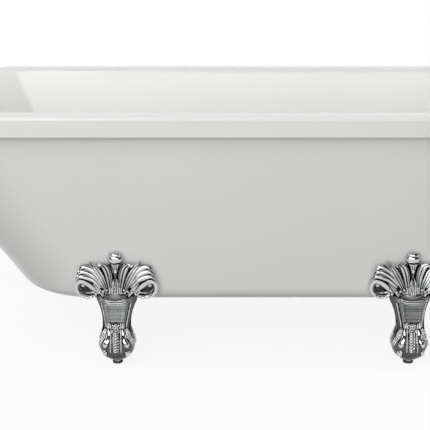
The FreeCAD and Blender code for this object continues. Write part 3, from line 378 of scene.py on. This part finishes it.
def finish_of(slot, looks):
    """The one material of a record's slot."""
    if slot not in made_finishes:
        made_finishes[slot] = FINISHES[slot](looks)
    return made_finishes[slot]


def dress_nodes(slots, looks):
    """Gives every construction node of some slots its finish."""
    for name, slot in NODE_SLOTS.items():
        if slot in slots:
            materials = frame["nodes"][name].data.materials
            materials.clear()
            materials.append(finish_of(slot, looks))


# The cast leg, in millimetres about its own centre, with the room side towards -Y

WALL_SETBACK = 37.0  # the skin's wall behind the leg's centre, at the skin's underside
WALL_LEAN = 62 / 438  # how far the wall comes forward for each millimetre up
BALL_Z = 50.0  # level of the ball's middle
BALL_FLAT = 9.5  # about where it is cut flat
# the second finish is matt chrome; the third is chrome painted darker as shade
MATTED, PAINTED_SHADE = 1, 2  # places of these finishes among the leg's materials; all else is polished

# Ankle: level, half width of the front panel, front, half width over the flanks, their place and the back
COLUMN = (
    (58, 15, -34, 33, -6, 32),
    (74, 16, -28, 34, -4, 34),
    (94, 19, -22, 33.5, 2, 40),
    (108, 21, -23.5, 34, 8, 48),
    (124, 24.5, -20.5, 37, 14, 60),
    (138, 27, -18, 42, 20, 70),
    (150, 29, -16.5, 47.5, 22, 46),
    (160, 29, -15, 48, 20, 40),
    (168, 26, -8, 44, 18, 36),
    (176, 20, 2, 36, 17, 33),
)
COLUMN_STEPS = 24  # outlines between two given levels
RING_STEPS = 5  # points between two given ones of an outline
PANEL = (110.0, 151.0)  # the ribbed panel's lower and upper edge
PANEL_SHARE = 0.93  # how much of the panel's width the ribs take
PANEL_DEEP = 1.5  # how far behind the panel's front they still run
MATTED_FROM = 96.0  # the panel is left matt above this level
COVE_ROD = 2.4  # radius of the rod along each cove
COVE_ROD_STEPS = 6
COVE_ROWS = slice(2, 7)  # levels of the ankle that it passes
COVE_PLACE = (0.25, 0.4)  # how far it lies from panel to flank, sideways and backwards
BOWL = ((0, 9, 168), (31, 27, 17))  # apron's centre and its radii
BOWL_LID = ((0, -3, 181), (11, 10, 5))

# Ridges across the front where apron and panel meet: (how far up, radius)
COLLAR = ((0, 1.1), (4.2, 1.6), (9.0, 1.0))
COLLAR_LEVEL, COLLAR_FRONT, COLLAR_HALF = 150, -16, 38
COLLAR_RISE, COLLAR_SWEEP = 7, 14  # how far a ridge's ends rise and fall back
COLLAR_LEAN = 0.25  # how far forward a ridge is for each millimetre up
COLLAR_THINS = 0.5  # how much of its radius a ridge loses at its ends
COLLAR_STEPS = 16

# Toes and straps on the right half: points above the ball as (across, front, level, half width), then
# points on it as (turn from the front in degrees, level, raised, half width)
FRONT_TOE = (((0, -27, 92, 6), (0, -32, 84, 7), (0, -37, 74, 7.5)),
             ((0, 62, -0.5, 7.5), (0, 50, -0.5, 7), (0, 41, -0.5, 5)))
RAIL = (((11.5, -26, 93, 1.8), (11.5, -30.5, 83, 2.2), (11.8, -35, 73, 2.4)),
        ((16.8, 62, 0.5, 2.4), (16.4, 52, 0.5, 2.2), (16.6, 44, 0.5, 1.4)))
STRAP = (((16.5, -25, 92, 3), (18.5, -29, 83, 5)),
         ((31, 70, 0.5, 5.5), (34, 62, 2, 6.2), (36, 56, 2.5, 5.5), (37.5, 51, 1.5, 2.5)))
SIDE_TOE = (((23, -22, 93, 3.5), (28, -23, 82, 6)),
            ((55, 70, 0, 6.5), (62, 60, 0, 6), (67, 51, 0, 4), (70, 45, 0, 1.5)))
FLANK_TOE = (((32, 8, 87, 4), (35.5, 7, 74, 6)), ((104, 62, 0, 6.5), (106, 50, 0, 5), (108, 40, 0, 2)))
BACK_TOE = (((0, 38, 87, 6), (0, 38.5, 75, 8)), ((180, 62, 0, 8), (180, 50, 0, 7), (180, 38, 0, 3)))
NAIL = ((), ((34, 42, 0, 3.5), (39, 37, 1.8, 6.5), (44, 30, 2.2, 6), (50, 22, 0.5, 2)))
BOW = (((14.5, -30.6, 96, 3.5), (14.5, -28.8, 99, 5.5), (14.5, -25.8, 104, 5.8), (14.5, -23.4, 108, 4)), ())
SHELL = (((0, -26, 107, 3), (0, -28, 101, 7), (0, -29, 96, 6), (0, -29, 93, 3)), ())
RAIL_BEAD_LIFT = 1.2  # how far the beads stand out from their rail
BOW_BEADS = ((7, -26, 103), (8, -26, 97), (6, -26, 92))
BOW_BEAD = 3.4
BOSS = (0, -29.5, 89)  # ringed boss over the front toe
BOSS_RING, BOSS_BAR, BOSS_DROP = 7.0, 1.9, 4.6  # radii of its ring, the ring's bar and the drop inside
BOSS_SUNK = 1  # how far the drop sits behind the ring
BOSS_STEPS = 32

# Leaves of the crown's left half, from the middle outwards: (across, up, proud of the wall, half width)
STEM = ((0, 174, 49, 8), (0, 184, 42, 8.5), (0, 196, 33, 7.5), (0, 208, 27, 4), (0, 216, 24, 3.2),
        (0, 224, 22, 5), (0, 236, 20, 7.5), (0, 245, 20.5, 13))
PRONG = ((-3, 209, 31, 1.5), (-5, 199, 37, 3), (-5.5, 189, 41, 2.4))
HORN = ((-9, 261, 15, 3), (-11.5, 266, 16, 2.6), (-13.5, 271, 17, 0.8))
EAR_STEM = ((-20, 157, 36, 3), (-29, 168, 31, 4.8), (-40, 181, 25, 4.8), (-53, 195, 21, 2))
# Plumes: how many ribs each has, and its points
CROWN_LEAVES = (
    (2, ((-11, 176, 45, 4), (-11.5, 187, 38, 5.5), (-13, 202, 32, 7), (-16, 220, 25, 9),
         (-22, 235, 21, 9.5), (-31, 243, 22, 6.5), (-38, 241, 27, 3.5))),
    (3, ((-19, 175, 42, 4), (-22, 186, 35, 5.5), (-29, 202, 29, 8.5), (-39, 220, 22, 10.5),
         (-49, 234, 17, 8), (-55.5, 241, 16, 4), (-57.5, 249, 17, 1.4))),
    (1, ((-30, 198, 24, 5), (-46, 218, 20, 8), (-60, 231, 17, 8), (-74, 236, 17, 6), (-83, 230, 20, 3))),
    (1, ((-32, 193, 26, 5), (-50, 212, 22, 7), (-66, 222, 20, 7), (-80, 224, 20, 5.5),
         (-88, 217, 22, 2.5))),
    (1, ((-34, 187, 26, 5), (-52, 203, 23, 6), (-70, 211, 22, 6.5), (-84, 212.5, 22, 5),
         (-92, 206, 23, 2))),
)
FAN = ((0, 156, 7, 30), (0, 178, 8, 58), (0, 200, 8, 80), (0, 216, 8, 80), (0, 228, 7, 64), (0, 238, 6, 38))
# Drops of the crown: (across, up, proud of the wall)
PEARLS = ((-14, 178, 42), (-20, 185, 41), (-28, 181, 40), (-37, 177, 37), (-46, 171, 33))
PEARL_RADIUS = 3.4
STEM_DROP = (0, 226, 24)
STEM_DROP_RADIUS = 4.2

# The rolled leaf at each lower corner: (across, up) round its hollow, ending in a small inner curl
EAR = ((-24, 156), (-36, 168), (-50, 182), (-66, 197), (-80, 203), (-90.5, 198.5), (-94.5, 187.5),
       (-93, 175), (-86, 165), (-75, 159), (-63, 157.5), (-53, 160.5), (-49, 166), (-54, 171), (-61, 169))
EAR_DEPTH = 24.0
EAR_SEAT = 1  # how deep it sits in the wall
EAR_ROOT, EAR_TIP = 0.5, 0.65  # how much of its depth it has at its root and at its tip
EAR_SLIMS = 0.7  # where along it the tip begins to slim
EAR_BAND, EAR_SWELL = 6.5, 5.0  # how full it is towards its hollow, and how much more at its top
EAR_SKIN = 2.5  # how full it is on its outside
EAR_BLUNT = 0.35  # how flat its front edge is: 1 would be round
EAR_SIDES = 20
EAR_HOLLOW = ((-66, 158, 14, 8), (-68, 168, 11, 18), (-72, 181, 6, 21), (-76, 192, 2, 15), (-79, 199, 0, 6))
EAR_CURL = (-78, 188, 13)  # drop in the hollow: (across, up, proud of the wall)
EAR_CURL_RADIUS = 6.0
EAR_BEADS = ((-83, 166, 21), (-75, 161.5, 21), (-66, 159.5, 21), (-57.5, 161, 21))
EAR_BEAD = 2.7

# Turned bud at the top of the crown: (radius, height), squashed front to back
FINIAL = ((10, 243), (13.5, 244.5), (16.5, 248), (17.2, 252), (16.2, 257), (13.5, 260.5), (12.5, 262),
          (14.5, 263.5), (13, 266.5), (9, 269), (4, 270.3), (0.5, 270.6))
FINIAL_MIDDLE = (0, 255, 11)  # (across, up, proud of the wall)
FINIAL_SQUASH = 0.6
FINIAL_STEPS, FINIAL_SIDES = 5, 40


def on_wall(across, up, proud):
    """A point in front of the skin's leaning wall."""
    return Vector((across, WALL_SETBACK - WALL_LEAN * (up - UNDERSIDE) - proud, up))


def wall_spine(points, side=1):
    """Turns (across, up, proud, half width) into a leaf's spine, mirrored for the other side."""
    return [(*on_wall(across * side, up, proud), width) for across, up, proud, width in points]


def on_ball(radius, turn, level, raised):
    """A point on the ball at a turn from the front, in degrees, and a level."""
    across = math.sqrt(max(radius * radius - (level - BALL_Z) ** 2, 0)) + raised
    return Vector((across * math.sin(math.radians(turn)), -across * math.cos(math.radians(turn)), level))


def toe_spine(points, radius, side=1):
    """A toe's spine from its points above the ball and on it, mirrored for the other side."""
    above, held = points
    spine = [(across * side, front, level, width) for across, front, level, width in above]
    spine += [(*on_ball(radius, turn * side, level, raised), width) for turn, level, raised, width in held]
    return spine


def finish_since(mesh, known, finish_number):
    """Gives one of the leg's finishes to the faces that are not yet known."""
    for face in set(mesh.faces) - known:
        face.material_index = finish_number


def ankle_outline(row, pitch, height):
    """One outline of the ankle: flat panel with its ribs, hollow coves, round flanks and back."""
    level, panel, front, flank, middle, back = row
    # Half of it, from the middle of the panel by cove and flank to the middle of the back
    half = [(0, front), (panel * 0.5, front), (panel * 0.95, front + 0.5),
            (panel + (flank - panel) * 0.2, front + (middle - front) * 0.5),
            (panel + (flank - panel) * 0.7, front + (middle - front) * 0.8), (flank, middle),
            (flank * 0.86, middle + (back - middle) * 0.7), (flank * 0.5, back), (0, back)]
    ring = half + [(-x, y) for x, y in half[-2:0:-1]]
    outline = []
    for x, y in curve_through(ring, RING_STEPS, True):
        ribbed = abs(x) < panel * PANEL_SHARE and y < front + PANEL_DEEP
        if ribbed and PANEL[0] < level < PANEL[1]:
            y -= height * abs(math.sin(math.pi * (level - PANEL[0]) / pitch))
        outline.append((x, y, level))
    return outline


def column(mesh, sizes):
    """Ankle and apron: a flat ribbed panel between hollow flanks, under a smooth round apron."""
    rows = curve_through(COLUMN, COLUMN_STEPS)
    outlines = [ankle_outline(row, sizes.rib_pitch / MM, sizes.rib_height / MM) for row in rows]
    count = len(outlines[0])
    for number, face in enumerate(stack(mesh, outlines)):
        row, step = divmod(number, count)
        # painted shade: every face of the ankle but the upper panel takes the chrome painted darker
        on_panel = min(step, count - 1 - step) < 2 * RING_STEPS and rows[row][0] > MATTED_FROM
        face.material_index = MATTED if on_panel else PAINTED_SHADE
    ankle = set(mesh.faces)
    for place, radii in (BOWL, BOWL_LID):
        bead(mesh, Vector(place), max(radii), [reach / max(radii) for reach in radii])
    finish_since(mesh, ankle, MATTED)
    sideways, backwards = COVE_PLACE
    for side in (-1, 1):
        spine = []
        for level, panel, front, flank, middle, back in COLUMN[COVE_ROWS]:
            across = panel + (flank - panel) * sideways
            spine.append((across * side, front + (middle - front) * backwards, level, COVE_ROD))
        tube(mesh, curve_through(spine, COVE_ROD_STEPS), sides=12)


def ball(mesh, radius):
    """The smooth ball in the claw, flat underneath."""
    rings, sides = 30, 72
    lower = 0.02  # radians by which every ring sits lower
    low = math.acos((BALL_FLAT - BALL_Z) / radius)
    known = set(mesh.faces)
    outlines = []
    for ring in range(rings):
        polar = low * (1 - ring / rings) + lower
        level, across = BALL_Z + radius * math.cos(polar), radius * math.sin(polar)
        outlines.append([(across * math.cos(a), across * math.sin(a), level) for a in turns(sides)])
    stack(mesh, outlines)
    # painted shade: the ball takes the chrome painted darker
    finish_since(mesh, known, PAINTED_SHADE)


def claw(mesh, sizes):
    """Toes over the ball: a laddered one in front, straps and beaded ones beside it, and one behind."""
    radius = sizes.ball_radius / MM
    leaf(mesh, toe_spine(FRONT_TOE, radius), rungs=10, depth=1.2, crown=0.6)
    for side in (-1, 1):
        rail = toe_spine(RAIL, radius, side)
        leaf(mesh, rail, facing=Vector((0.2 * side, -1, 0.1)), depth=0.3, crown=0.3, thickness=6)
        beaded = curve_through(rail, 2)[2:]  # two beads to a step, from the rail's second point on
        for place in beaded:
            bead(mesh, Vector(place[:3]) + FRONT * RAIL_BEAD_LIFT, sizes.bead_radius / MM)
        strap = toe_spine(STRAP, radius, side)
        leaf(mesh, strap, facing=Vector((0.45 * side, -1, 0.2)), crown=0.3, depth=0.5)
        toe = toe_spine(SIDE_TOE, radius, side)
        leaf(mesh, toe, facing=Vector((0.8 * side, -0.8, 0.2)), ribs=2, rungs=9, depth=2.0, crown=0.4)
        leaf(mesh, toe_spine(FLANK_TOE, radius, side), facing=Vector((side, 0.2, 0)), crown=0.4)
        nail = toe_spine(NAIL, radius, side)
        leaf(mesh, nail, facing=Vector((0.7 * side, -0.7, -0.1)), depth=0.3, crown=0.5)
        leaf(mesh, toe_spine(BOW, radius, side), ribs=2, depth=1.6, crown=0.5)
        for across, front, level in BOW_BEADS:
            bead(mesh, Vector((across * side, front, level)), BOW_BEAD)
    leaf(mesh, toe_spine(BACK_TOE, radius), facing=-FRONT, rungs=7, crown=0.45)
    leaf(mesh, toe_spine(SHELL, radius), ribs=3, depth=1.6, crown=0.4)
    across, front, level = BOSS
    ring = [(across + BOSS_RING * math.sin(a), front, level + BOSS_RING * math.cos(a), BOSS_BAR)
            for a in turns(BOSS_STEPS)]
    tube(mesh, ring, closed=True, sides=12)
    bead(mesh, Vector((across, front + BOSS_SUNK, level)), BOSS_DROP, squash=(1, 0.7, 1))


def collar(mesh):
    """Ridges that sag across the front where apron and panel meet."""
    for lift, bar in COLLAR:
        spine = []
        for step in range(2 * COLLAR_STEPS + 1):
            share = step / COLLAR_STEPS - 1
            fade = share ** 4
            front = COLLAR_FRONT - COLLAR_LEAN * lift + COLLAR_SWEEP * fade
            level = COLLAR_LEVEL + lift + COLLAR_RISE * share * share
            spine.append((COLLAR_HALF * share, front, level, bar * (1 - COLLAR_THINS * fade)))
        tube(mesh, spine, facing=Vector((0, -1, 0.2)))


def ear(mesh, side):
    """A rolled leaf: a full band curled round a hollow, with a beaded lower edge."""
    proud = EAR_DEPTH / 2 - EAR_SEAT
    path = curve_through([on_wall(across * side, up, proud) for across, up in EAR], LEAF_STEPS)
    start = Vector(path[1]) - Vector(path[0])
    hollow = Vector((-start.z, 0, start.x)) * side
    outlines = []
    for number, (place, sideways, inward) in enumerate(frames_along(path, hollow)):
        share = number / (len(path) - 1)
        slim = max(0, share - EAR_SLIMS) / (1 - EAR_SLIMS)
        half = EAR_DEPTH / 2 * min(1, EAR_ROOT + share * 2) * (1 - (1 - EAR_TIP) * slim)
        full = EAR_BAND + EAR_SWELL * math.sin(math.pi * math.sqrt(share)) ** 4
        blunt = EAR_BLUNT + (1 - EAR_BLUNT) * share
        outline = []
        for angle in turns(EAR_SIDES):
            rise = full * max(math.sin(angle), 0) + EAR_SKIN * min(math.sin(angle), 0)
            reach = half * math.copysign(abs(math.cos(angle)) ** blunt, math.cos(angle))
            outline.append(place + sideways * reach + inward * rise)
        outlines.append(outline)
    stack(mesh, outlines)
    leaf(mesh, wall_spine(EAR_HOLLOW, side), depth=0.3, crown=0, thickness=2)
    across, up, proud = EAR_CURL
    bead(mesh, on_wall(across * side, up, proud), EAR_CURL_RADIUS, squash=(1.2, 0.8, 1))
    for across, up, proud in EAR_BEADS:
        bead(mesh, on_wall(across * side, up, proud), EAR_BEAD)


def bud(mesh):
    """Turned bud that ends the crown's stem."""
    middle = on_wall(*FINIAL_MIDDLE).y
    outlines = []
    for radius, up in curve_through(FINIAL, FINIAL_STEPS):
        outlines.append([(radius * math.cos(a), middle + FINIAL_SQUASH * radius * math.sin(a), up)
                         for a in turns(FINIAL_SIDES)])
    stack(mesh, outlines)


def crown(mesh):
    """Leaf fan against the skin: stem and bud in the middle, plumes and a rolled leaf on either side."""
    leaf(mesh, wall_spine(FAN), ribs=2, depth=3.0, crown=0.02, thickness=6)
    for side in (1, -1):
        for ribs, points in CROWN_LEAVES:
            leaf(mesh, wall_spine(points, side), ribs=ribs, depth=2.6, crown=0.4, thickness=7)
        ear(mesh, side)
        for across, up, proud in PEARLS:
            bead(mesh, on_wall(across * side, up, proud), PEARL_RADIUS)
        leaf(mesh, wall_spine(EAR_STEM, side), ribs=2, depth=1.4, crown=0.4)
        leaf(mesh, wall_spine(PRONG, side), depth=1.0, crown=0.6)
        leaf(mesh, wall_spine(HORN, side), depth=0.8, crown=0.5, thickness=2)
    leaf(mesh, wall_spine(STEM), ribs=3, depth=2.0, crown=0.3, thickness=8)
    bead(mesh, on_wall(*STEM_DROP), STEM_DROP_RADIUS, squash=(1, 0.8, 1.4))
    bud(mesh)


def tongue(mesh):
    """Flat tongue under the bath that takes the leg's bolts."""
    half, reach, thickness, corner, corner_steps = 30, 165, 6, 12, 8
    side, near, far = half - corner, corner, reach - corner
    centres = ((side, far, 0), (-side, far, 90), (-side, near, 180), (side, near, 270))
    # Heights up its edge, and how far the edge is drawn in at each
    edge = ((0, 1.2), (0.35, 0.35), (1.2, 0), (thickness - 0.6, 0), (thickness, 0.5))
    outlines = []
    for height, inset in edge:
        radius = corner - inset
        level = UNDERSIDE - thickness + height
        outline = []
        for x, y, start in centres:
            for step in range(corner_steps + 1):
                angle = math.radians(start + 90 * step / corner_steps)
                outline.append((x + radius * math.cos(angle), y + radius * math.sin(angle), level))
        outlines.append(outline)
    stack(mesh, outlines)


def carved_leg(looks):
    """Surfaces of the whole leg, each with its finish."""
    mesh = bmesh.new()
    column(mesh, looks)
    ball(mesh, looks.ball_radius / MM)
    claw(mesh, looks)
    collar(mesh)
    crown(mesh)
    tongue(mesh)
    return mesh


# Sizes and colours that a user would change

class BathLooks(bpy.types.PropertyGroup):
    """Sizes and colours of the dressed bath."""

    acrylic_tone: bpy.props.StringProperty(
        name="Acrylic", description="sRGB hex colour of the acrylic shells", default="#ECECEA")
    acrylic_shade: bpy.props.StringProperty(
        name="Acrylic shade", description="sRGB hex colour of its slightly deeper patches",
        default="#E8E8E6")
    # painted shade: hollows of the carving within this reach are painted dark
    hollow_reach: bpy.props.FloatProperty(
        name="Hollow reach", description="How wide a hollow of the carving may be to look dark",
        default=0.012, unit="LENGTH")
    # painted shade: within this reach of floor, toes and coves, ball, ankle and panel are painted darker
    shade_reach: bpy.props.FloatProperty(
        name="Shade reach", description="How near floor, toes and coves darken ball and ankle",
        default=0.045, unit="LENGTH")
    ball_radius: bpy.props.FloatProperty(
        name="Ball radius", description="Ball held by each claw", default=0.0425, unit="LENGTH")
    bead_radius: bpy.props.FloatProperty(
        name="Bead radius", description="Beads beside the front toe", default=0.0021, unit="LENGTH")
    rib_pitch: bpy.props.FloatProperty(
        name="Rib pitch", description="Spacing of the ribs on the ankle's panel",
        default=0.0037, unit="LENGTH")
    rib_height: bpy.props.FloatProperty(
        name="Rib height", description="Height of those ribs", default=0.001, unit="LENGTH")


class StudioLooks(bpy.types.PropertyGroup):
    """Floor and backdrop, room and camera."""

    sweep_tone: bpy.props.StringProperty(
        name="Sweep", description="sRGB hex colour of floor and backdrop as they light the bath",
        default="#5E5E5C")
    seen_tone: bpy.props.StringProperty(
        name="Sweep in view", description="sRGB hex colour of their paint to camera and mirrors",
        default="#F2F2F0")
    room_tone: bpy.props.StringProperty(
        name="Room", description="sRGB hex colour of the dim studio round the set", default="#4A4A4A")
    lens: bpy.props.FloatProperty(
        name="Lens", description="Focal length in millimetres on a 36 mm sensor", default=86.21)
    camera_place: bpy.props.FloatVectorProperty(
        name="Camera", description="Where the camera stands",
        default=(0.0385, -2.561, 1.0386), subtype="XYZ", unit="LENGTH")
    pitch: bpy.props.FloatProperty(
        name="Pitch", description="How far the camera looks down", default=0.2927, subtype="ANGLE")


class BATH_OT_shells(bpy.types.Operator):
    """Finish the bathing shell and outer skin in gloss acrylic"""

    bl_idname = "bath.shells"
    bl_label = "Acrylic shells"

    def execute(self, context):
        dress_nodes({"white_acrylic"}, context.scene.bath_looks)
        return {"FINISHED"}


class BATH_OT_legs(bpy.types.Operator):
    """Carve the claw-and-ball leg and set one at each corner"""

    bl_idname = "bath.legs"
    bl_label = "Carved legs"

    def execute(self, context):
        looks = context.scene.bath_looks
        # these finishes paint shade: into the carving's hollows, beside the carving on the panel, and over
        # ball and coves
        finishes = (finish_of("leg_chrome", looks), matted_chrome(looks), painted_shade_chrome(looks))
        data = mesh_from(carved_leg(looks), "carved_leg", finishes)
        for name in LEG_NAMES:
            low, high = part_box("leveller_pad_" + name)
            middle = (low + high) / 2
            turn = Matrix.Rotation(0 if middle.y < 0 else math.pi, 4, "Z")
            place = Matrix.Translation((middle.x, middle.y, 0)) @ turn
            piece = place_piece(data, "carved_leg_" + name, "bath", place)
            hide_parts("leg_" + name)
        return {"FINISHED"}


class BATH_OT_fixings(bpy.types.Operator):
    """Finish bolts, washers, nuts, screws and levelling feet"""

    bl_idname = "bath.fixings"
    bl_label = "Fixings and feet"

    def execute(self, context):
        dress_nodes({"zinc_steel", "black_nylon"}, context.scene.bath_looks)
        return {"FINISHED"}


class BATH_OT_timber(bpy.types.Operator):
    """Finish the plywood ring, board and blocks between the shells"""

    bl_idname = "bath.timber"
    bl_label = "Plywood frame"

    def execute(self, context):
        dress_nodes({"plywood"}, context.scene.bath_looks)
        return {"FINISHED"}


class BATH_OT_fittings(bpy.types.Operator):
    """Finish waste, overflow, pipe, seals and cable"""

    bl_idname = "bath.fittings"
    bl_label = "Waste and overflow"

    def execute(self, context):
        slots = {"waste_chrome", "black_rubber", "white_polypropylene", "cable_sheath"}
        dress_nodes(slots, context.scene.bath_looks)
        return {"FINISHED"}


# Soft boxes: name, place, size, watts and whether mirrors show it; each faces the bath
SOFT_BOXES = (
    ("front_top", (-1.8, -2.8, 3.0), (3.0, 2.0), 54, True),
    ("front", (-0.3, -3.6, 1.5), (4.0, 1.6), 56, True),
    ("front_low", (0.4, -3.2, 0.7), (3.2, 0.8), 15, False),
    ("overhead", (0.0, -0.6, 3.0), (3.2, 1.6), 10, True),
    ("rear", (0.3, 2.6, 3.2), (3.0, 1.2), 18, True),
    ("rear_low", (0.2, 3.6, 1.1), (4.0, 1.6), 50, False),
    ("left", (-3.2, 0.3, 1.8), (1.4, 1.4), 22, True),
    ("right", (3.2, 0.3, 2.2), (1.4, 1.4), 45, True),
)
# Floor and backdrop, in metres
FLOOR_REACH, BACKDROP_Y, BACKDROP_BEND, BACKDROP_TOP = 40.0, 12.0, 2.0, 6.0
BEND_STEPS = 24
PAINTED = (1.0, 4.0)  # how far off the floor begins and ends to turn from shadowed paint to plain white
GLOW_NEAR = 0.89  # share of plain white near the bath
AIM = Vector((0, 0, 0.35))  # what the soft boxes face


class BATH_OT_studio(bpy.types.Operator):
    """Set floor and backdrop, soft boxes, room and camera"""

    bl_idname = "bath.studio"
    bl_label = "Studio"

    def execute(self, context):
        scene = context.scene
        studio = scene.bath_studio
        self.sweep(scene, studio)
        self.lamps(scene)
        self.room(scene, studio)
        self.camera(scene, studio)
        scene.view_settings.view_transform = "Standard"
        return {"FINISHED"}

    def sweep(self, scene, studio):
        """Wide floor that curves up into a far backdrop."""
        profile = [(-FLOOR_REACH, 0.0), (BACKDROP_Y - BACKDROP_BEND, 0.0)]
        for step in range(1, BEND_STEPS + 1):
            angle = math.pi / 2 * step / BEND_STEPS
            y = BACKDROP_Y - BACKDROP_BEND * (1 - math.sin(angle))
            profile.append((y, BACKDROP_BEND * (1 - math.cos(angle))))
        profile.append((BACKDROP_Y, BACKDROP_TOP))
        mesh = bmesh.new()
        left, right = [[mesh.verts.new((side * FLOOR_REACH, y, z)) for y, z in profile] for side in (-1, 1)]
        for index in range(len(profile) - 1):
            mesh.faces.new((left[index], left[index + 1], right[index + 1], right[index]))
        data = bpy.data.meshes.new("sweep")
        mesh.to_mesh(data)
        mesh.free()
        data.shade_smooth()
        data.materials.append(self.sweep_paint(studio))
        floor = bpy.data.objects.new("sweep", data)
        scene.collection.objects.link(floor)

    def sweep_paint(self, studio):
        """Grey paint to the light of the set; to camera and mirrors white, with shadows near the bath."""
        material = bpy.data.materials.new("painted_sweep")
        material.use_nodes = True
        tree = material.node_tree
        tree.nodes.clear()
        path = node(tree, "ShaderNodeLightPath", {}).outputs
        seen = node(tree, "ShaderNodeMath", {0: path["Is Camera Ray"], 1: path["Is Glossy Ray"]},
                    operation="MAXIMUM").outputs[0]
        seen = node(tree, "ShaderNodeMath", {0: seen, 1: path["Is Transmission Ray"]},
                    operation="MAXIMUM").outputs[0]
        mixing = {FACTOR: seen, FIRST: linear(studio.sweep_tone), SECOND: linear(studio.seen_tone)}
        tone = node(tree, "ShaderNodeMix", mixing, data_type="RGBA")
        paint = node(tree, "ShaderNodeBsdfDiffuse", {"Color": tone.outputs[MIXED]})
        glow = node(tree, "ShaderNodeEmission", {"Color": (1, 1, 1, 1), "Strength": 1.0})
        place = node(tree, "ShaderNodeTexCoord", {}).outputs["Object"]
        away = node(tree, "ShaderNodeVectorMath", {0: place}, operation="LENGTH").outputs["Value"]
        near, far = PAINTED
        growth = {"Value": away, "From Min": near, "From Max": far, "To Min": GLOW_NEAR, "To Max": 1.0}
        white = node(tree, "ShaderNodeMapRange", growth, interpolation_type="SMOOTHSTEP")
        share = node(tree, "ShaderNodeMath", {0: seen, 1: white.outputs["Result"]}, operation="MULTIPLY")
        shaders = {0: share.outputs[0], 1: paint.outputs[0], 2: glow.outputs[0]}
        both = node(tree, "ShaderNodeMixShader", shaders)
        node(tree, "ShaderNodeOutputMaterial", {"Surface": both.outputs[0]})
        return material

    def lamps(self, scene):
        """Soft boxes round the set."""
        for name, place, (width, height), watts, mirrored in SOFT_BOXES:
            lamp = bpy.data.lights.new(name, "AREA")
            lamp.shape = "RECTANGLE"
            lamp.size, lamp.size_y, lamp.energy = width, height, watts
            holder = bpy.data.objects.new(name, lamp)
            holder.location = place
            holder.visible_glossy = mirrored
            holder.rotation_euler = (AIM - Vector(place)).to_track_quat("-Z", "Y").to_euler()
            scene.collection.objects.link(holder)

    def room(self, scene, studio):
        """Dim room round the set, which the chrome mirrors as its darks."""
        world = bpy.data.worlds.new("studio_room")
        world.use_nodes = True
        world.node_tree.nodes["Background"].inputs["Color"].default_value = linear(studio.room_tone)
        scene.world = world

    def camera(self, scene, studio):
        """Camera at the photograph's place, looking straight across the bath and a little down."""
        data = bpy.data.cameras.new("camera")
        data.lens = studio.lens
        holder = bpy.data.objects.new("camera", data)
        holder.location = studio.camera_place
        holder.rotation_euler = (math.pi / 2 - studio.pitch, 0, 0)
        scene.collection.objects.link(holder)
        scene.camera = holder


class BATH_PT_panel(bpy.types.Panel):
    """Lists the steps and what can be changed"""

    bl_idname = "BATH_PT_panel"
    bl_label = "Claw-foot bath"
    bl_space_type = "VIEW_3D"
    bl_region_type = "UI"
    bl_category = "Bath"

    def draw(self, context):
        for operator in OPERATORS:
            self.layout.operator(operator.bl_idname)
        for group in (context.scene.bath_looks, context.scene.bath_studio):
            for name in group.__annotations__:
                self.layout.prop(group, name)


OPERATORS = (BATH_OT_shells, BATH_OT_legs, BATH_OT_fixings, BATH_OT_timber, BATH_OT_fittings,
             BATH_OT_studio)
CLASSES = (BathLooks, StudioLooks, *OPERATORS, BATH_PT_panel)


def register():
    """Adds the classes and the scene's two property groups."""
    for made in CLASSES:
        bpy.utils.register_class(made)
    bpy.types.Scene.bath_looks = bpy.props.PointerProperty(type=BathLooks)
    bpy.types.Scene.bath_studio = bpy.props.PointerProperty(type=StudioLooks)


def unregister():
    """Takes them out again."""
    del bpy.types.Scene.bath_looks
    del bpy.types.Scene.bath_studio
    for made in reversed(CLASSES):
        bpy.utils.unregister_class(made)


def main():
    """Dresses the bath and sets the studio."""
    register()
    bpy.ops.bath.shells()
    bpy.ops.bath.legs()
    bpy.ops.bath.fixings()
    bpy.ops.bath.timber()
    bpy.ops.bath.fittings()
    bpy.ops.bath.studio()


if __name__ == "__main__":
    main()
